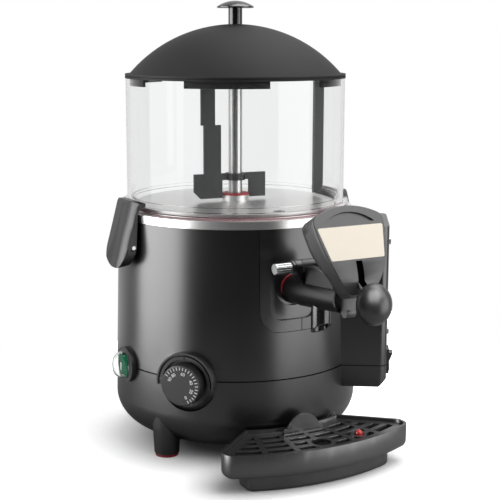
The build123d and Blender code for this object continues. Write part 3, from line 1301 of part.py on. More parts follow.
# Underside and wiring
under_low_z = BOWL_FLOOR_Z - PLATE_UNDER_T
bottom_plate = disc(PLATE_UNDER_R, under_low_z, BOWL_FLOOR_Z)
for step in range(VENT_COUNT):
    vent_y = (step - (VENT_COUNT - 1) / 2) * VENT_STEP
    bottom_plate = bottom_plate - Pos(0, vent_y, BOWL_FLOOR_Z) * Box(VENT_L, VENT_W, 4 * PLATE_UNDER_T)
under_screws = []
for step in range(4):
    spot = facing(45 + 90 * step)
    screw = stud(SCREW_R, 0, UNDER_SCREW_RING, under_low_z, BOWL_FLOOR_Z + WALL)
    screw += stud(SCREW_HEAD_R, 0, UNDER_SCREW_RING, under_low_z - SCREW_HEAD_H, under_low_z)
    under_screws.append(spot * screw)
    shank = spot * stud(SCREW_R, 0, UNDER_SCREW_RING, under_low_z, BOWL_FLOOR_Z + WALL)
    bottom_plate = bottom_plate - shank
    base = base - shank
under_screws = Compound(children=under_screws)
terminal_block = block(-BLOCK_L / 2, BLOCK_L / 2, -BLOCK_W - 44, -44, BOWL_FLOOR_Z, BOWL_FLOOR_Z + BLOCK_H)
gland_turn = facing(180)
gland_in = BASE_R - WALL - 6
cord_gland = gland_turn * rod(GLAND_R, gland_in, GLAND_OUT, GLAND_Z)
gland_nut = (gland_turn * rod(GLAND_NUT_R, BASE_R - 4, GLAND_OUT - 4, GLAND_Z)) - bowl_solid
cord_gland = (cord_gland + gland_nut) - gland_turn * rod(GLAND_BORE_R, gland_in, GLAND_OUT, GLAND_Z)

nodes = {
    "base": base,
    "foot_pads": foot_pads,
    "casing": casing,
    "front_frame": front_frame,
    "front_panel": front_panel,
    "bath": bath,
    "column": column,
    "column_seal": column_seal,
    "tank_gasket": tank_gasket,
    "tank": tank,
    "heater": heater,
    "cutout": cutout,
    "motor": motor,
    "motor_bracket": motor_bracket,
    "outlet": outlet,
    "tap_seal": tap_seal,
    "tap_body": tap_body,
    "spout": spout,
    "barrel_plug": barrel_plug,
    "pivot_pin": pivot_pin,
    "spring": spring,
    "plunger": plunger,
    "plunger_seal": plunger_seal,
    "handle": handle,
    "sign_plate": sign_plate,
    "ball_knob": ball_knob,
    "lid": lid,
    "knob": knob,
    "knob_screw": knob_screw,
    "stirrer": stirrer,
    "drive_shaft": drive_shaft,
    "dial_bezel": dial_bezel,
    "dial": dial,
    "spindle": spindle,
    "thermostat": thermostat,
    "heat_bezel": heat_bezel,
    "heat_rocker": heat_rocker,
    "heat_cover": heat_cover,
    "side_cover": side_cover,
    "cover_screws": cover_screws,
    "power_frame": power_frame,
    "power_rocker": power_rocker,
    "latch_left": latch_left,
    "latch_right": latch_right,
    "latch_brackets": latch_brackets,
    "latch_pins": latch_pins,
    "tray": tray,
    "grille": grille,
    "tray_float": tray_float,
    "bottom_plate": bottom_plate,
    "under_screws": under_screws,
    "terminal_block": terminal_block,
    "cord_gland": cord_gland,
}

# The whole part stands with the middle of its outline over the origin
outline = Compound(children=[solid for shape in nodes.values() for solid in shape.solids()]).bounding_box()
to_origin = Pos(-outline.center().X, -outline.center().Y, -outline.min.Z)
print("vessel axis at", to_origin.position)
os.makedirs("parts", exist_ok=True)
for name, shape in nodes.items():
    export_step(to_origin * Compound(children=shape.solids()), f"parts/{name}.step")
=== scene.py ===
# %% [markdown]
# # A hot chocolate dispenser, dressed for its photograph
# The solids come from the CAD model and stay where they are. This lesson gives each one its finish, adds
# the printed marks and soft pieces that solids are poor at, and sets a studio round the machine: a pale
# floor, soft boxes and a camera at the photograph's place. Lengths are metres.

# %% Load the machine
import json
import math

import bpy
import numpy as np
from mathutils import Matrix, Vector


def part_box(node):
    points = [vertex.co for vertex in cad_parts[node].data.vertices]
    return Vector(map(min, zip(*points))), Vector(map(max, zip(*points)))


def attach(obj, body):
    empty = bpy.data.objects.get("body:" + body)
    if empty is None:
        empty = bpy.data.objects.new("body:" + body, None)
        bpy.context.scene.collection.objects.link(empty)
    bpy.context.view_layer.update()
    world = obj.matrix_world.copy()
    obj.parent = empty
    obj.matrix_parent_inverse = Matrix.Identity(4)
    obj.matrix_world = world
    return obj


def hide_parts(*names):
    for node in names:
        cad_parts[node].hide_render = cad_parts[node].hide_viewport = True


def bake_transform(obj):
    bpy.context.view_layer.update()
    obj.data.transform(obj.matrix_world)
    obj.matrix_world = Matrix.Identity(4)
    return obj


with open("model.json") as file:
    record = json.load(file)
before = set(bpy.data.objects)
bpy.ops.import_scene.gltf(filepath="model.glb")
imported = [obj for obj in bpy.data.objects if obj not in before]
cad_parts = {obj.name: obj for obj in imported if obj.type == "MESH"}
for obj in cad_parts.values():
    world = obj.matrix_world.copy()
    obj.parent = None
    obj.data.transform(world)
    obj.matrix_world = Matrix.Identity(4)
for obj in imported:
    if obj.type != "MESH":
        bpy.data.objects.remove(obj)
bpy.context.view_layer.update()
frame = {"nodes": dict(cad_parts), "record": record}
joints = {joint["name"]: joint for joint in frame["record"]["behaviour"]["joints"]}
axis_x, axis_y, _ = joints["stirrer_spin"]["pos_m"]
print("vessel axis", axis_x, axis_y, "nodes", len(frame["nodes"]))

# %% [markdown]
# ## Camera
# The photograph was taken a little above the tank's foot, from the front left. The heading, distance and
# focal length below were solved from points whose real places are known, so the render can be laid over
# the photograph. The small sideways shift is the photograph's own framing.

# %% Camera
HEADING = math.radians(28.0)
PITCH = math.radians(10.41)
DISTANCE = 1.21875
EYE_HEIGHT = 0.4169
PICTURE = 500
FOCAL_PIXELS = 1175.578
AXIS_PIXEL = 235.3

eye = bpy.data.cameras.new("eye")
eye.sensor_width = 36.0
eye.lens = eye.sensor_width * FOCAL_PIXELS / PICTURE
eye.shift_x = (PICTURE / 2 - AXIS_PIXEL) / PICTURE
eye_stand = bpy.data.objects.new("eye", eye)
eye_stand.location = (
    axis_x - DISTANCE * math.sin(HEADING),
    axis_y - DISTANCE * math.cos(HEADING),
    EYE_HEIGHT,
)
eye_stand.rotation_euler = (math.pi / 2 - PITCH, 0.0, -HEADING)
bpy.context.collection.objects.link(eye_stand)
bpy.context.scene.camera = eye_stand
print("lens", round(eye.lens, 2), "mm")

# %% [markdown]
# ## Writing shaders as sums
# A node tree is easier to read as arithmetic. `Wire` holds one socket. Python's operators on it add Math
# nodes, and its `node` method adds any other kind: the settings are set first, then the sockets get their
# values or links.


# %% A socket that can be added and multiplied
class Wire:
    """A shader socket. Operators on it add Math nodes, and node() adds any other node."""

    def __init__(self, tree, socket=None):
        self.tree = tree
        self.socket = socket

    def node(self, kind, settings=None, sockets=None, output=0):
        """Adds a node, sets its settings, then fills its sockets by name or number."""
        made = self.tree.nodes.new("ShaderNode" + kind)
        for name, value in (settings or {}).items():
            setattr(made, name, value)
        for name, value in (sockets or {}).items():
            self.fill(made.inputs[name], value)
        return Wire(self.tree, made.outputs[output])

    def fill(self, target, value):
        """Links a wire to a socket, or writes a plain value there."""
        if isinstance(value, Wire):
            self.tree.links.new(value.socket, target)
        elif isinstance(value, tuple) and len(value) == 3 and target.type == "RGBA":
            target.default_value = (*value, 1.0)
        else:
            target.default_value = value

    def _math(self, operation, first, second):
        return self.node("Math", {"operation": operation}, {0: first, 1: second})

    def __add__(self, other):
        return self._math("ADD", self, other)

    def __radd__(self, other):
        return self._math("ADD", other, self)

    def __sub__(self, other):
        return self._math("SUBTRACT", self, other)

    def __rsub__(self, other):
        return self._math("SUBTRACT", other, self)

    def __mul__(self, other):
        return self._math("MULTIPLY", self, other)

    def __rmul__(self, other):
        return self._math("MULTIPLY", other, self)


print("sums of sockets ready")


# %% A finish and its patterns
class Finish:
    """A material with one Principled shader, its Object coordinates and a few patterns."""

    def __init__(self, name, **sockets):
        self.material = bpy.data.materials.new(name)
        self.material.use_nodes = True
        tree = self.material.node_tree
        self.shader = tree.nodes["Principled BSDF"]
        self.wire = Wire(tree)
        self.place = self.wire.node("TexCoord", output=3)
        for socket, value in sockets.items():
            self.set(socket.replace("_", " "), value)

    def set(self, socket, value):
        """Fills one of the shader's sockets."""
        self.wire.fill(self.shader.inputs[socket], value)

    def noise(self, per_metre, detail=2.0, roughness=0.5, stretch=(1.0, 1.0, 1.0)):
        """Cloudy pattern from 0 to 1, with so many patches to the metre, stretched along the axes."""
        spread = self.wire.node("Mapping", None, {"Vector": self.place, "Scale": stretch})
        sockets = {"Vector": spread, "Scale": per_metre, "Detail": detail, "Roughness": roughness}
        return self.wire.node("TexNoise", None, sockets)

    def blend(self, low, high, amount):
        """Colour between two colours by an amount from 0 to 1."""
        return self.wire.node("Mix", {"data_type": "RGBA"}, {0: amount, 6: (*low, 1.0), 7: (*high, 1.0)}, 2)

    def bump(self, height, depth, strength=1.0):
        """Turns a height pattern into surface relief of that depth in metres."""
        sockets = {"Height": height, "Distance": depth, "Strength": strength}
        self.set("Normal", self.wire.node("Bump", None, sockets))


print("shader helpers ready")

# %% [markdown]
# ## Moulded black plastics
# Nearly everything here is black plastic, and what tells the parts apart is how each mould was finished.
# The casing has a fine spark-eroded grain that spreads highlights into soft bands. The lid is duller, the
# lever and spout are smoother. Each gets a grain as relief, and broad clouds in roughness, because
# handling never leaves a surface even. The shell is two mouldings that meet at a seam, and a matt black
# line at that height marks the joint all the way round. The latches are flat slabs, and a broad relief
# under their grain makes them catch light as if they were slightly crowned.

# %% Recipe for black plastic
CLOUDS_PER_METRE, CLOUD_DETAIL, GRAIN_STRENGTH = 14.0, 3.0, 0.35


def moulded(name, shade, roughness, grain_per_metre, grain_depth, index=1.7):
    """Black plastic: a grain in relief, clouds in roughness and a slight drift of colour."""
    finish = Finish(name, IOR=index)
    clouds = finish.noise(CLOUDS_PER_METRE, CLOUD_DETAIL)
    grain = finish.noise(grain_per_metre, 1.0)
    darker = (0.85 * shade, 0.85 * shade, 0.88 * shade)
    lighter = (1.15 * shade, 1.15 * shade, 1.2 * shade)
    finish.set("Base Color", finish.blend(darker, lighter, clouds))
    finish.set("Roughness", roughness - 0.04 + 0.08 * clouds)
    finish.bump(grain, grain_depth, GRAIN_STRENGTH)
    return finish.material


print("recipe:", moulded.__doc__)

# %% Masks and reliefs
# Black for the dark seam joint and for painted shade in the lever's slot.
JOINT_AND_SHADE_BLACK = (0.002, 0.002, 0.002)


def ramp(wire, start, end):
    """Rises evenly from 0 at one value of a wire to 1 at another."""
    return wire.node("MapRange", None, {"Value": wire, "From Min": start, "From Max": end})


def axis_of(wire, number):
    """The x, y or z of a finish's Object coordinates."""
    return wire.node("SeparateXYZ", None, {0: wire.node("TexCoord", output=3)}, number)


def far_from(wire, middle):
    """Distance of a value from a middle, without its sign."""
    return wire.node("Math", {"operation": "ABSOLUTE"}, {0: wire - middle})


def blacken(material, mask):
    """Makes a finish matt black where a mask is 1: a dark joint, or painted shade where light doesn't
    reach.
    """
    nodes = material.node_tree.nodes
    gap = mask.node("BsdfDiffuse", None, {"Color": JOINT_AND_SHADE_BLACK})
    shell = Wire(material.node_tree, nodes["Principled BSDF"].outputs[0])
    mixed = mask.node("MixShader", None, {0: mask, 1: shell, 2: gap})
    mask.fill(nodes["Material Output"].inputs["Surface"], mixed)


def seamed(material, height, half_width):
    """Draws a matt black line round a finish at one height: the gap between two mouldings."""
    off = far_from(axis_of(Wire(material.node_tree), 2), height)
    blacken(material, ramp(off, half_width, 0.5 * half_width))


def under_grain(material, height, depth):
    """Lays a broad relief of that depth under the fine grain of a finish."""
    grain = next(node for node in material.node_tree.nodes if node.bl_idname == "ShaderNodeBump")
    relief = height.node("Bump", None, {"Height": height, "Distance": depth, "Strength": 1.0})
    height.fill(grain.inputs["Normal"], relief)


def crowned(material, half_width, depth):
    """Rounds a finish across its width by relief: height falls as the square of the way from the middle."""
    aside = (axis_of(Wire(material.node_tree), 1) - axis_y) * (1.0 / half_width)
    under_grain(material, aside * aside * -1.0, depth)


print("recipes:", seamed.__doc__, crowned.__doc__)

# %% Black plastics
SEAM_HEIGHT, SEAM_HALF = 0.086, 0.0006
LATCH_HALF, LATCH_CROWN = 0.026, 0.008
shell_black = moulded("shell_black", 0.004, 0.30, 1300.0, 0.00007, 1.8)
seamed(shell_black, SEAM_HEIGHT, SEAM_HALF)
frame_black = moulded("frame_black", 0.004, 0.32, 1500.0, 0.00003, 1.8)
lid_black = moulded("lid_black", 0.0125, 0.66, 1200.0, 0.00007, 1.36)
knob_black = moulded("knob_black", 0.006, 0.2, 1600.0, 0.00002)
rocker_black = moulded("rocker_black", 0.006, 0.25, 1600.0, 0.00002)
tap_black = moulded("tap_black", 0.006, 0.30, 1600.0, 0.00003)
# Painted shade: the barrel's plug is darker and duller than the tap, so that it reads as the shade inside
# an open bore.
plug_black = moulded("plug_black", 0.003, 0.6, 1600.0, 0.00003, 1.3)
spout_black = moulded("spout_black", 0.005, 0.2, 600.0, 0.00001)
lever_black = moulded("lever_black", 0.03, 0.42, 1600.0, 0.00005)
ball_black = moulded("ball_black", 0.012, 0.38, 1600.0, 0.00004)
latch_black = moulded("latch_black", 0.006, 0.36, 1600.0, 0.00004, 1.55)
crowned(latch_black, LATCH_HALF, LATCH_CROWN)
control_black = moulded("control_black", 0.013, 0.42, 1600.0, 0.00004, 1.65)
tray_black = moulded("tray_black", 0.02, 0.34, 1600.0, 0.00004, 2.0)
grille_black = moulded("grille_black", 0.03, 0.28, 1600.0, 0.00003, 2.3)
paddle_grey = moulded("paddle_grey", 0.035, 0.42, 1400.0, 0.00005, 1.5)
fitting_grey = moulded("fitting_grey", 0.1, 0.45, 1400.0, 0.00005, 1.5)
print("black plastics made")

# %% [markdown]
# ## Metals
# The steel ring and column are brushed: a noise stretched along the brushing direction gives the fine
# lines. On turned pieces the lines run round the axis, so the noise is squeezed along Z. The chromed pin
# has straight ridges to grip it by.

# %% Recipes for metal


def brushed(name, colour, roughness, stretch, per_metre=400.0):
    """Bare metal with fine lines, made by a noise squeezed across the brushing."""
    finish = Finish(name, Metallic=1.0)
    lines = finish.noise(per_metre, 2.0, 0.6, stretch)
    darker = tuple(0.86 * part for part in colour)
    finish.set("Base Color", finish.blend(darker, colour, lines))
    finish.set("Roughness", roughness - 0.05 + 0.1 * lines)
    finish.bump(lines, 0.00001, 0.15)
    return finish.material


def knurled(material, hub, radius, ridges, depth):
    """Ridges along a pin that lies in X: relief by the sine of the angle round it times their number."""
    wire = Wire(material.node_tree)
    level, ahead = axis_of(wire, 2) - hub[2], axis_of(wire, 1) - hub[1]
    turn = wire.node("Math", {"operation": "ARCTAN2"}, {0: level, 1: ahead})
    wave = wire.node("Math", {"operation": "SINE"}, {0: turn * ridges})
    arm = wire.node("CombineXYZ", None, {1: ahead, 2: level})
    away = wire.node("VectorMath", {"operation": "LENGTH"}, {0: arm}, 1)
    on_side = ramp(away, 0.94 * radius, 0.97 * radius)
    under_grain(material, wave * on_side, depth)


print("recipes:", brushed.__doc__, knurled.__doc__)

# %% Metals
KNURL_RIDGES, KNURL_DEPTH = 30.0, 0.00006
pin_low, pin_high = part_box("pivot_pin")
pin_radius = 0.5 * (pin_high[2] - pin_low[2])
ring_steel = brushed("ring_steel", (0.84, 0.84, 0.83), 0.36, (0.05, 0.05, 2.0))
column_steel = brushed("column_steel", (0.74, 0.74, 0.73), 0.28, (1.0, 1.0, 0.03))
plated_steel = brushed("plated_steel", (0.55, 0.55, 0.55), 0.3, (1.0, 1.0, 1.0))
pin_chrome = brushed("pin_chrome", (0.66, 0.66, 0.67), 0.22, (0.1, 1.0, 1.0))
knurled(pin_chrome, joints["lever_lift"]["pos_m"], pin_radius, KNURL_RIDGES, KNURL_DEPTH)
cast_aluminium = brushed("cast_aluminium", (0.6, 0.6, 0.6), 0.45, (1.0, 1.0, 1.0))
print("metals made")

# %% [markdown]
# ## Clear and coloured pieces
# The tank is clear polycarbonate and the switch wears a soft clear hood. Both let light through by
# transmission, and a grey tint on their gloss keeps the glints soft. Seals and pads are dull red
# silicone, the float is glossy red, and the lit switch is green.

# %% Clear plastics
SOFT_GLINT = (0.4, 0.4, 0.4)


def clear(name, tint, roughness, index):
    """See-through plastic, faintly wavy as mouldings are."""
    finish = Finish(name, Transmission_Weight=1.0, IOR=index, Specular_Tint=SOFT_GLINT)
    waves = finish.noise(9.0, 1.0)
    paler = tuple(min(1.0, part + 0.02) for part in tint)
    finish.set("Base Color", finish.blend(tint, paler, waves))
    finish.set("Roughness", roughness + 0.01 * waves)
    finish.bump(waves, 0.0004, 0.05)
    return finish.material


tank_clear = clear("tank_clear", (0.975, 0.98, 0.98), 0.0, 1.45)
hood_clear = clear("hood_clear", (0.9, 0.92, 0.91), 0.12, 1.42)
print("clear plastics made")

# %% Coloured pieces


def coloured(name, colour, roughness, per_metre, drift=0.82, **sockets):
    """Solid colour with clouds of a darker shade and matching gloss."""
    finish = Finish(name, **sockets)
    clouds = finish.noise(per_metre, 3.0)
    darker = tuple(drift * part for part in colour)
    finish.set("Base Color", finish.blend(darker, colour, clouds))
    finish.set("Roughness", roughness - 0.05 + 0.1 * clouds)
    finish.bump(clouds, 0.00005, 0.1)
    return finish.material


seal_red = coloured("seal_red", (0.36, 0.015, 0.03), 0.5, 120.0)
gasket_rose = coloured("gasket_rose", (0.27, 0.1, 0.12), 0.5, 120.0)
float_red = coloured("float_red", (0.62, 0.03, 0.03), 0.25, 200.0)
switch_green = coloured("switch_green", (0.0, 0.22, 0.1), 0.22, 160.0)
sign_cream = coloured("sign_cream", (0.86, 0.78, 0.66), 0.5, 60.0, 0.96)
print("colours made")

# %% [markdown]
# ## Dressing the solids
# Each solid takes one finish. The table below is the whole wardrobe.

# %% Dress the solids
wardrobe = {
    shell_black: ["casing", "base", "side_cover", "front_panel"],
    frame_black: ["front_frame"],
    lid_black: ["lid"],
    knob_black: ["knob"],
    tap_black: ["tap_body"],
    plug_black: ["barrel_plug"],
    spout_black: ["spout"],
    lever_black: ["handle"],
    ball_black: ["ball_knob"],
    latch_black: ["latch_left", "latch_right", "latch_brackets"],
    control_black: ["dial_bezel", "dial", "heat_bezel", "power_frame"],
    tray_black: ["tray"],
    grille_black: ["grille"],
    paddle_grey: ["stirrer"],
    fitting_grey: ["thermostat", "terminal_block", "cord_gland", "motor", "plunger"],
    ring_steel: ["bath"],
    column_steel: ["column", "drive_shaft", "spindle", "outlet"],
    plated_steel: [
        "cover_screws", "under_screws", "knob_screw", "latch_pins",
        "motor_bracket", "bottom_plate", "cutout", "spring",
    ],
    pin_chrome: ["pivot_pin"],
    cast_aluminium: ["heater"],
    tank_clear: ["tank"],
    hood_clear: ["heat_cover"],
    gasket_rose: ["tank_gasket"],
    seal_red: ["column_seal", "tap_seal", "plunger_seal", "foot_pads"],
    float_red: ["tray_float"],
    switch_green: ["heat_rocker"],
    rocker_black: ["power_rocker"],
    sign_cream: ["sign_plate"],
}
for finish, names in wardrobe.items():
    for name in names:
        solid = frame["nodes"][name]
        solid.data.materials.clear()
        solid.data.materials.append(finish)
for name in ("tank", "heat_cover"):
    frame["nodes"][name].visible_shadow = False
undressed = set(frame["nodes"]) - {name for names in wardrobe.values() for name in names}
print("undressed solids", sorted(undressed))

# %% [markdown]
# ## Eased edges
# No moulding has a knife edge. The solids are sharp, so the visible mouldings get a narrow bevel on every
# edge that turns by more than forty degrees. The corners of neighbouring faces are first welded, because
# a bevel needs shared edges.

# %% Ease the edges
SAME_CORNER, SHARP_TURN = 0.00001, math.radians(40.0)
eased = {
    "tray": 0.0008,
    "grille": 0.0008,
    "handle": 0.0006,
    "latch_left": 0.0006,
    "latch_right": 0.0006,
    "dial_bezel": 0.0005,
    "dial": 0.0004,
    "heat_bezel": 0.0005,
}
for name, width in eased.items():
    solid = frame["nodes"][name]
    weld = solid.modifiers.new("shared corners", "WELD")
    weld.merge_threshold = SAME_CORNER
    bevel = solid.modifiers.new("eased edges", "BEVEL")
    bevel.width = width
    bevel.segments = 2
    bevel.limit_method = "ANGLE"
    bevel.angle_limit = SHARP_TURN
    bevel.harden_normals = True
print("edges eased on", len(eased), "solids")

# %% [markdown]
# ## Marks on the dial
# The scale is printed white: a tick every eleven degrees over a little more than half a turn, with plain
# numbers inside it. The ticks are thin closed plates laid on the dial's face, all made at once from
# arrays. The numbers are letters of the built-in face, made mesh and laid round the same circle with
# their tops outward.

# %% The dial's face
dial_hub = np.array(joints["dial_turn"]["pos_m"])
dial_out = np.array(joints["dial_turn"]["axis"])
dial_across = np.array([-dial_out[1], dial_out[0], 0.0])
dial_up = np.array([0.0, 0.0, 1.0])


def corners_of(mesh):
    """All of a mesh's corners as rows of x, y and z."""
    flat = np.empty(3 * len(mesh.vertices))
    mesh.vertices.foreach_get("co", flat)
    return flat.reshape(-1, 3)


dial_face = ((corners_of(frame["nodes"]["dial"].data) - dial_hub) @ dial_out).max()


def on_face(across, up, out):
    """Points on the dial: so far across and up from its centre, and so far out from its face."""
    across, up, out = np.broadcast_arrays(across, up, out)
    in_plane = across[..., None] * dial_across + up[..., None] * dial_up
    return dial_hub + (in_plane + (dial_face + out)[..., None] * dial_out).reshape(-1, 3)


print("dial face lies", round(1000.0 * dial_face, 2), "mm out from its joint")

# %% Plates and new pieces


def plates(angles, inner, outer, width, low, high):
    """Closed plates along spokes at clockwise angles from the top: eight corners and six sides each."""
    near = np.array([0, 0, 1, 1, 0, 0, 1, 1])
    side = np.array([-1, 1, 1, -1, -1, 1, 1, -1])
    lift = np.array([0, 0, 0, 0, 1, 1, 1, 1])
    sides = np.array([(3, 2, 1, 0), (4, 5, 6, 7), (1, 5, 4, 0), (2, 6, 5, 1), (3, 7, 6, 2), (0, 4, 7, 3)])
    turn = np.radians(np.asarray(angles, float))[:, None]
    along = inner + (outer - inner) * near
    aside = 0.5 * width * side
    points = on_face(
        along * np.sin(turn) + aside * np.cos(turn),
        along * np.cos(turn) - aside * np.sin(turn),
        low + (high - low) * lift,
    )
    starts = 8 * np.arange(len(turn))[:, None, None]
    return points, (starts + sides).reshape(-1, 4)


def loose_piece(name, points, faces, finish):
    """Mesh from an array of points and a list of faces, in a finish, not yet riding on anything."""
    mesh = bpy.data.meshes.new(name)
    mesh.from_pydata(points.tolist(), [], faces)
    mesh.materials.append(finish)
    piece = bpy.data.objects.new(name, mesh)
    bpy.context.collection.objects.link(piece)
    return piece


def new_piece(name, points, faces, finish, body):
    """Loose piece set riding on a body of the machine."""
    piece = loose_piece(name, points, faces, finish)
    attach(piece, body)
    return piece


print("recipe:", plates.__doc__)

# %% A number on the dial
NUMBER_HEIGHT, NUMBER_RING = 0.0046, 0.0121
NUMBER_HALF, NUMBER_BOLD, NUMBER_LIFT = 0.00008, 0.0001, 0.00004


def numeral(words, height, angle, radius, finish):
    """Number laid on the dial's face at a clockwise angle from the top, its head outward."""
    letters = bpy.data.curves.new("number_" + words, "FONT")
    letters.body = words
    letters.size = height
    letters.align_x = "CENTER"
    letters.align_y = "CENTER"
    letters.extrude = NUMBER_HALF
    letters.offset = NUMBER_BOLD
    letters.resolution_u = 4
    stand = bpy.data.objects.new("number_" + words, letters)
    bpy.context.collection.objects.link(stand)
    mesh = bpy.data.meshes.new_from_object(stand.evaluated_get(bpy.context.evaluated_depsgraph_get()))
    bpy.data.objects.remove(stand)
    x, y, z = corners_of(mesh).T
    turn = math.radians(angle)
    across = x * math.cos(turn) + (y + radius) * math.sin(turn)
    up = (y + radius) * math.cos(turn) - x * math.sin(turn)
    mesh.vertices.foreach_set("co", on_face(across, up, z + NUMBER_LIFT).ravel())
    mesh.materials.clear()
    mesh.materials.append(finish)
    piece = bpy.data.objects.new("number_" + words, mesh)
    bpy.context.collection.objects.link(piece)
    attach(piece, "dial")
    return piece


print("recipe:", numeral.__doc__)

# %% Dial marks
TICK_INNER, TICK_OUTER, TICK_WIDTH = 0.0156, 0.0187, 0.0009
TICK_SUNK, TICK_PROUD = -0.00005, 0.00012
TICK_FIRST, TICK_LAST, TICK_COUNT = -57.0, 152.0, 20
print_white = coloured("print_white", (0.95, 0.95, 0.95), 0.5, 900.0, 0.95)
tick_angles = np.linspace(TICK_FIRST, TICK_LAST, TICK_COUNT)
ticks = plates(tick_angles, TICK_INNER, TICK_OUTER, TICK_WIDTH, TICK_SUNK, TICK_PROUD)
new_piece("dial_ticks", ticks[0], ticks[1].tolist(), print_white, "dial")
scale = {"90": -63.0, "80": -35.0, "60": 13.0, "40": 67.0, "20": 110.0, "0": 152.0}
for words, angle in scale.items():
    numeral(words, NUMBER_HEIGHT, angle, NUMBER_RING, print_white)
print("dial marks made:", len(tick_angles), "ticks and", len(scale), "numbers")

# %% [markdown]
# ## Slot in the lever
# Below its sign the lever's plate has a deep narrow slot, which reads as a black line. The solid has the
# slot, and its floor and walls are painted matt black as painted shade: all that lies a little way behind
# the plate's face, close to the lever's middle and below the sign. The sign itself gives the tilt of that
# face, as the direction in which its corners spread least.

# %% Slot in the lever
SLOT_HALF, SLOT_DEEP, SLOT_EDGE, SIGN_PROUD = 0.0034, 0.009, 0.0002, 0.0004
sign_corners = corners_of(frame["nodes"]["sign_plate"].data)
sign_foot = sign_corners[:, 2].min()
sign_out = np.linalg.svd(sign_corners - sign_corners.mean(axis=0))[2][2]
sign_out = -math.copysign(1.0, sign_out[1]) * sign_out
face_level = (sign_corners @ sign_out).max() - SIGN_PROUD
lever = Wire(lever_black.node_tree)
lever_place = lever.node("TexCoord", output=3)
facing = {0: lever_place, 1: tuple(sign_out)}
behind = face_level - lever.node("VectorMath", {"operation": "DOT_PRODUCT"}, facing, 1)
# Painted shade: the slot's floor and walls are painted matt black, standing in for the shade inside it.
slot_shade_depth = ramp(behind, SLOT_EDGE, 3.0 * SLOT_EDGE) * ramp(behind, SLOT_DEEP, SLOT_DEEP - SLOT_EDGE)
near_middle = ramp(far_from(axis_of(lever, 0), axis_x), SLOT_HALF, SLOT_HALF - 0.25 * SLOT_EDGE)
below_sign = ramp(axis_of(lever, 2), sign_foot, sign_foot - SLOT_EDGE)
blacken(lever_black, slot_shade_depth * near_middle * below_sign)
print("slot darkened, face tilted", round(math.degrees(math.asin(sign_out[2]))), "degrees")

# %% [markdown]
# ## Soft hood over the switch
# The lit switch wears a soft clear boot against splashes. It is an oval that swells outward: seen from
# the front its rim is a superellipse, and from rim to crown it shrinks with the cosine of an angle while
# it rises with the sine. A second, smaller skin inside it makes the wall.

# %% The switch
switch_hub = np.array(joints["heat_switch"]["pos_m"])
switch_out = np.array([switch_hub[0] - axis_x, switch_hub[1] - axis_y, 0.0])
switch_out = switch_out / np.linalg.norm(switch_out)
switch_frame = np.array([np.cross([0.0, 0.0, 1.0], switch_out), [0.0, 0.0, 1.0], switch_out])
hood_rows = (corners_of(frame["nodes"]["heat_cover"].data) - switch_hub) @ switch_frame.T
hood_low, hood_high = hood_rows.min(axis=0), hood_rows.max(axis=0)
print("hood box in mm", np.round(1000.0 * (hood_high - hood_low), 1))

# %% Skin of the hood
OVAL_POWER, SHRINK_POWER, RISE_POWER = 0.75, 0.6, 0.9


def hood_skin(half_size, foot, crown, turns, rises):
    """Rings of an oval dome and its crown point, along the switch's own across, up and out."""
    turn = np.linspace(0.0, 2.0 * np.pi, turns, endpoint=False)
    rise = np.linspace(0.0, 0.5 * np.pi, rises, endpoint=False)[:, None]
    oval = np.stack([np.sign(wave) * np.abs(wave) ** OVAL_POWER for wave in (np.cos(turn), np.sin(turn))])
    shrink = np.cos(rise) ** SHRINK_POWER
    height = foot + (crown - foot) * np.sin(rise) ** RISE_POWER + 0.0 * turn
    rings = np.stack([half_size[0] * oval[0] * shrink, half_size[1] * oval[1] * shrink, height], axis=-1)
    return np.vstack([rings.reshape(-1, 3), [[0.0, 0.0, crown]]])


def hood_faces(turns, rises, start, outward):
    """Quads between the rings of a dome and triangles at its crown, turned outward or inward."""
    step = np.arange(turns)
    after = (step + 1) % turns
    rows = turns * np.arange(rises - 1)[:, None]
    quads = np.stack([rows + step, rows + after, rows + turns + after, rows + turns + step], axis=-1)
    quads = quads.reshape(-1, 4)
    last = turns * (rises - 1)
    tips = np.stack([last + step, last + after, np.full(turns, turns * rises)], axis=-1)
    way = 1 if outward else -1
    return (start + quads[:, ::way]).tolist() + (start + tips[:, ::way]).tolist()


print("recipe:", hood_skin.__doc__)

# %% Switch hood
TURNS, RISES, HOOD_WALL = 72, 20, 0.0009
half = 0.5 * (hood_high - hood_low)[:2]
centre = 0.5 * (hood_high + hood_low) * (1.0, 1.0, 0.0)
outer_skin = hood_skin(half, hood_low[2], hood_high[2], TURNS, RISES)
inner_skin = hood_skin(half - HOOD_WALL, hood_low[2], hood_high[2] - HOOD_WALL, TURNS, RISES)
around_rim = np.arange(TURNS)
next_rim = (around_rim + 1) % TURNS
rim = np.stack([around_rim, len(outer_skin) + around_rim, len(outer_skin) + next_rim, next_rim], axis=-1)
hood_points = switch_hub + (np.vstack([outer_skin, inner_skin]) + centre) @ switch_frame
hood_sides = hood_faces(TURNS, RISES, 0, True) + hood_faces(TURNS, RISES, len(outer_skin), False)
hood_sides = hood_sides + rim.tolist()
switch_hood = new_piece("switch_hood", hood_points, hood_sides, hood_clear, "machine")
switch_hood.data.shade_smooth()
switch_hood.visible_shadow = False
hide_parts("heat_cover")
print("switch hood of", len(hood_points), "points")

# %% [markdown]
# ## Red ring behind the tap
# A soft ring seals the tap against the panel, and only a thin crescent of it shows past the collar. It is
# a round cord bent into a circle: a small circle carried round a larger one.

# %% Tap ring
RING_RADIUS, RING_DROP = 0.0124, 0.0026
RING_TURNS, RING_SIDES = 96, 16
seal_low, seal_high = (np.array(corner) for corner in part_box("tap_seal"))
ring_centre = 0.5 * (seal_low + seal_high) - (0.0, 0.0, RING_DROP)
ring_thick = 0.5 * (seal_high[1] - seal_low[1])


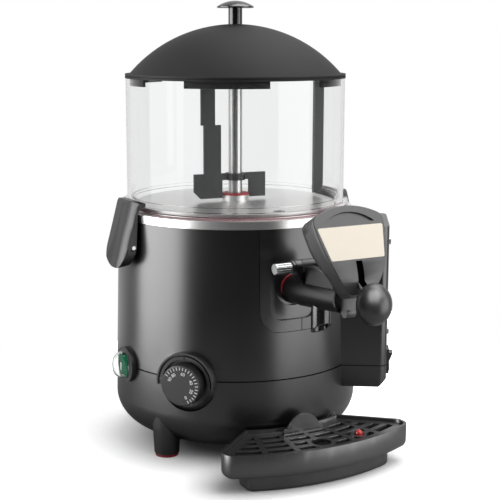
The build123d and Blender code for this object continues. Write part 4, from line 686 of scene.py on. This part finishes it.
def cord_ring(radius, thick, turns, sides):
    """Torus round the Y axis: a circle of one thickness carried round a larger circle."""
    turn = np.linspace(0.0, 2.0 * np.pi, turns, endpoint=False)[:, None]
    side = np.linspace(0.0, 2.0 * np.pi, sides, endpoint=False)
    reach = radius + thick * np.cos(side)
    depth = thick * np.sin(side) + 0.0 * turn
    points = np.stack([reach * np.cos(turn), depth, reach * np.sin(turn)], axis=-1)
    rows, steps = sides * np.arange(turns)[:, None], np.arange(sides)
    next_row, next_step = (rows + sides) % (turns * sides), (steps + 1) % sides
    quads = [rows + steps, rows + next_step, next_row + next_step, next_row + steps]
    return points.reshape(-1, 3), np.stack(quads, axis=-1).reshape(-1, 4)


ring_points, ring_faces = cord_ring(RING_RADIUS, ring_thick, RING_TURNS, RING_SIDES)
ring_points = ring_centre + ring_points
tap_ring = new_piece("tap_ring", ring_points, ring_faces.tolist(), seal_red, "machine")
tap_ring.data.shade_smooth()
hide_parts("tap_seal")
print("tap ring of", len(ring_points), "points")

# %% [markdown]
# ## Spring in the tap
# A coil pushes the plunger shut, and lifting the lever presses it together. In the machine its foot
# follows the plunger and its head stays with the tap. Here it is one loose piece that rides on no body: a
# small circle carried along a helix, with flat ends.

# %% A coil


def coil(radius, wire, low, high, turns, steps, sides):
    """Tube round a helix: each ring lies across the wire, on the outward and the crosswise direction."""
    share = np.linspace(0.0, 1.0, turns * steps + 1)
    turn = 2.0 * np.pi * turns * share
    level = np.zeros_like(turn)
    climb = level + (high - low) / (2.0 * np.pi * turns * radius)
    outward = np.stack([np.cos(turn), np.sin(turn), level], axis=-1)
    forward = np.stack([-np.sin(turn), np.cos(turn), climb], axis=-1)
    forward = forward / np.linalg.norm(forward, axis=-1, keepdims=True)
    crosswise = np.cross(forward, outward)
    middles = radius * outward + (low + (high - low) * share)[:, None] * (0.0, 0.0, 1.0)
    side = np.linspace(0.0, 2.0 * np.pi, sides, endpoint=False)[:, None]
    rings = middles[:, None] + wire * (np.cos(side) * outward[:, None] + np.sin(side) * crosswise[:, None])
    rows, columns = sides * np.arange(turns * steps)[:, None], np.arange(sides)
    following = (columns + 1) % sides
    quads = [rows + columns, rows + following, rows + sides + following, rows + sides + columns]
    ends = [columns[::-1].tolist(), (sides * turns * steps + columns).tolist()]
    return rings.reshape(-1, 3), np.stack(quads, axis=-1).reshape(-1, 4).tolist() + ends


print("recipe:", coil.__doc__)

# %% Tap spring
COIL_TURNS, COIL_STEPS, COIL_SIDES, COIL_WIRE = 6, 32, 10, 0.00045
coil_low, coil_high = (np.array(corner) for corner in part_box("spring"))
coil_middle = 0.5 * (coil_low + coil_high)
coil_radius = 0.5 * (coil_high[0] - coil_low[0]) - COIL_WIRE
coil_foot, coil_head = coil_low[2] + COIL_WIRE, coil_high[2] - COIL_WIRE
coil_points, coil_faces = coil(
    coil_radius, COIL_WIRE, coil_foot, coil_head, COIL_TURNS, COIL_STEPS, COIL_SIDES
)
coil_points = coil_points + coil_middle * (1.0, 1.0, 0.0)
tap_spring = loose_piece("tap_spring", coil_points, coil_faces, plated_steel)
tap_spring.data.shade_smooth()
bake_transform(tap_spring)
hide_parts("spring")
print("tap spring of", len(coil_points), "points")

# %% [markdown]
# ## Studio
# Black plastic shows mostly what it mirrors, so the lights are placed by their reflections. A tall card
# on the left makes the broad band of light down the casing, and a low one on the right makes the dimmer
# second band. The cards show in gloss alone and leave dull surfaces unlit. A key box high on the front
# right lights the lever and its sign, and a top box a little behind the machine throws the soft shadow
# forward and left.

# %% Lamps and cards


def soft_box(name, width, height, place, aim, power):
    """Area lamp of that size at a place, turned towards a point."""
    lamp = bpy.data.lights.new(name, "AREA")
    lamp.shape = "RECTANGLE"
    lamp.size = width
    lamp.size_y = height
    lamp.energy = power
    stand = bpy.data.objects.new(name, lamp)
    stand.location = place
    step = np.subtract(aim, place)
    tilt = math.atan2(math.hypot(step[0], step[1]), -step[2])
    stand.rotation_euler = (tilt, 0.0, math.atan2(-step[0], step[1]))
    stand.visible_camera = False
    bpy.context.collection.objects.link(stand)
    return stand


def mirror_card(name, width, height, place, aim, power):
    """Soft box that only shows in polished and satin surfaces."""
    card = soft_box(name, width, height, place, aim, power)
    card.visible_diffuse = False
    return card


def around(turn, distance, height):
    """Point at an angle to the right of the camera, seen from the vessel axis."""
    angle = -HEADING + math.radians(turn)
    return (axis_x + distance * math.sin(angle), axis_y - distance * math.cos(angle), height)


print("recipes:", soft_box.__doc__, mirror_card.__doc__)

# %% Soft boxes
middle = (axis_x, axis_y, 0.22)
left_card = mirror_card("left_card", 1.3, 1.5, around(-75, 1.25, 0.5), middle, 36.0)
right_card = mirror_card("right_card", 1.2, 0.9, around(62, 1.3, 0.0), (axis_x, axis_y, 0.05), 10.0)
right_box = soft_box("right_box", 0.9, 1.2, around(75, 1.4, 0.9), middle, 6.0)
soft_box("key_box", 1.2, 1.2, around(52, 1.0, 1.35), middle, 11.0)
soft_box("top_box", 1.2, 1.2, around(125, 0.5, 1.6), middle, 16.0)
print("soft boxes and cards hung")

# %% [markdown]
# ## Cards for the ball and the tank
# The round grip, the pin, the grille and the clear pieces mirror the bright side cards too strongly. A
# photographer flags those off and hangs a card of the right strength where one is needed. Light linking
# does the same: a lamp has a collection of the pieces that it lights alone, or of those that it leaves
# out.

# %% Cards for the ball and the tank
BALL_CARD_AHEAD, BALL_CARD_UP = 0.42, 0.42


def link_lamp(lamp, solids, state):
    """Lights these solids alone with a lamp, or leaves them out of its light."""
    members = bpy.data.collections.new(lamp.name + "_members")
    for number, solid in enumerate(solids):
        members.objects.link(solid)
        members.collection_objects[number].light_linking.link_state = state
    lamp.light_linking.receiver_collection = members


ball, tank = frame["nodes"]["ball_knob"], frame["nodes"]["tank"]
ball_middle = np.mean(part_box("ball_knob"), axis=0)
to_camera = np.subtract(eye_stand.location, ball_middle)
to_camera = to_camera / np.linalg.norm(to_camera)
card_place = ball_middle + BALL_CARD_AHEAD * to_camera + (0.0, 0.0, BALL_CARD_UP)
ball_card = mirror_card("ball_card", 0.9, 0.8, card_place, ball_middle, 13.0)
link_lamp(ball_card, [ball], "INCLUDE")
too_bright = [ball, tank, switch_hood, frame["nodes"]["pivot_pin"], frame["nodes"]["grille"]]
link_lamp(left_card, too_bright, "EXCLUDE")
link_lamp(right_card, [tank], "EXCLUDE")
link_lamp(right_box, [tank], "EXCLUDE")
for side, turn in {"left": -75, "right": 65}.items():
    tank_card = mirror_card("tank_card_" + side, 1.1, 1.5, around(turn, 1.3, 0.5), middle, 8.0)
    link_lamp(tank_card, [tank], "INCLUDE")
print("ball and tank lit by their own cards")

# %% [markdown]
# ## Floor and backdrop
# The floor is a pale sheet and the backdrop is the world. Both show white to the camera and through the
# clear tank. The floor's white is a glow that fades in with the distance from the vessel axis and from the
# tray at rest: partly the lamps' real shadow and partly painted shadow, dark under the machine and clear a
# hand's width away. To mirrors and as a light the world stays dim, like the dark room round a studio table.

# %% Kinds of rays and fading


def ray_kinds(tree):
    """Wires that are 1 for camera rays, for rays gone through a clear wall, and for mirrored rays."""
    rays = tree.nodes.new("ShaderNodeLightPath")
    kinds = ("Camera", "Glossy", "Transmission")
    seen, glossy, passed = (Wire(tree, rays.outputs[f"Is {kind} Ray"]) for kind in kinds)
    bounced = Wire(tree, rays.outputs["Glossy Depth"])
    straight = bounced.node("Math", {"operation": "LESS_THAN"}, {0: bounced, 1: 0.5})
    through = passed * straight
    return seen, through, glossy * (1.0 - through)


def fade_in(paint, middle, reach, start, end):
    """Smooth rise from 0 to 1 with the distance from a middle, counted in reaches along x and y."""
    step = paint.wire.node("VectorMath", {"operation": "SUBTRACT"}, {0: paint.place, 1: (*middle[:2], 0.0)})
    share = paint.wire.node("VectorMath", {"operation": "DIVIDE"}, {0: step, 1: (*reach[:2], 1.0)})
    away = paint.wire.node("VectorMath", {"operation": "LENGTH"}, {0: share}, 1)
    spread = {"Value": away, "From Min": start, "From Max": end}
    return paint.wire.node("MapRange", {"interpolation_type": "SMOOTHSTEP"}, spread)


print("recipes:", ray_kinds.__doc__, fade_in.__doc__)

# %% Floor
REACH = 0.46
FLOOR_PALE, FLOOR_IN_MIRRORS = (0.88, 0.88, 0.88), (0.4, 0.4, 0.4)
BLACK, WHITE = (0.0, 0.0, 0.0), (1.0, 1.0, 1.0)
SHADOW_LEAN = (-0.01, -0.025)
NEAR_GLOW = 0.65
VESSEL_DARK, VESSEL_CLEAR = 0.055, 0.165
TRAY_DARK, TRAY_CLEAR = 0.7, 1.7
FAR_START, FAR_END = 0.25, 0.42
floor_mesh = bpy.data.meshes.new("floor")
corners = [(-REACH, -REACH, 0.0), (REACH, -REACH, 0.0), (REACH, REACH, 0.0), (-REACH, REACH, 0.0)]
floor_mesh.from_pydata(corners, [], [(0, 1, 2, 3)])
floor = bpy.data.objects.new("floor", floor_mesh)
bpy.context.collection.objects.link(floor)
floor_paint = Finish("floor_paint", Roughness=0.8, Specular_IOR_Level=0.1)
tray_low, tray_high = (np.array(corner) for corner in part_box("tray"))
tray_half = 0.5 * (tray_high - tray_low)
shadow_middle = (axis_x + SHADOW_LEAN[0], axis_y + SHADOW_LEAN[1])
# Painted shadow: the glow is held down near the vessel axis, leaning front left, and round the tray at
# rest.
out_of_painted_vessel_shadow = fade_in(floor_paint, shadow_middle, (1.0, 1.0), VESSEL_DARK, VESSEL_CLEAR)
out_of_painted_tray_shadow = fade_in(floor_paint, tray_low + tray_half, tray_half, TRAY_DARK, TRAY_CLEAR)
far_off = fade_in(floor_paint, (0.0, 0.0), (1.0, 1.0), FAR_START, FAR_END)
glow = (NEAR_GLOW + (1.0 - NEAR_GLOW) * far_off) * out_of_painted_vessel_shadow * out_of_painted_tray_shadow
seen, through, mirrored = ray_kinds(floor_paint.material.node_tree)
floor_paint.set("Base Color", floor_paint.blend(FLOOR_PALE, FLOOR_IN_MIRRORS, mirrored))
floor_paint.set("Emission Color", floor_paint.blend(BLACK, WHITE, glow * (seen + through)))
floor_paint.set("Emission Strength", 1.0)
floor_mesh.materials.append(floor_paint.material)
print("floor laid,", 2.0 * REACH, "m across")

# %% Backdrop
ROOM_LIGHT, ROOM_MIRROR, BACK_MIRROR, THROUGH = 0.25, 0.04, 0.8, 0.92
BACK_START, BACK_END = 0.2, 0.8
world = bpy.data.worlds.new("studio")
bpy.context.scene.world = world
world.use_nodes = True
seen, through, mirrored = ray_kinds(world.node_tree)
heading = seen.node("TexCoord")
away_from_camera = (math.sin(HEADING), math.cos(HEADING), 0.0)
ahead = seen.node("VectorMath", {"operation": "DOT_PRODUCT"}, {0: heading, 1: away_from_camera}, 1)
span = {
    "Value": ahead,
    "From Min": BACK_START,
    "From Max": BACK_END,
    "To Min": ROOM_MIRROR - ROOM_LIGHT,
    "To Max": BACK_MIRROR - ROOM_LIGHT,
}
in_mirrors = seen.node("MapRange", {"interpolation_type": "SMOOTHSTEP"}, span)
brightness = ROOM_LIGHT + (1.0 - ROOM_LIGHT) * seen + (THROUGH - ROOM_LIGHT) * through
backing = world.node_tree.nodes["Background"]
seen.fill(backing.inputs["Strength"], brightness + in_mirrors * mirrored)
backing.inputs["Color"].default_value = (1.0, 1.0, 1.0, 1.0)
bpy.context.scene.view_settings.view_transform = "Standard"
print("studio set")
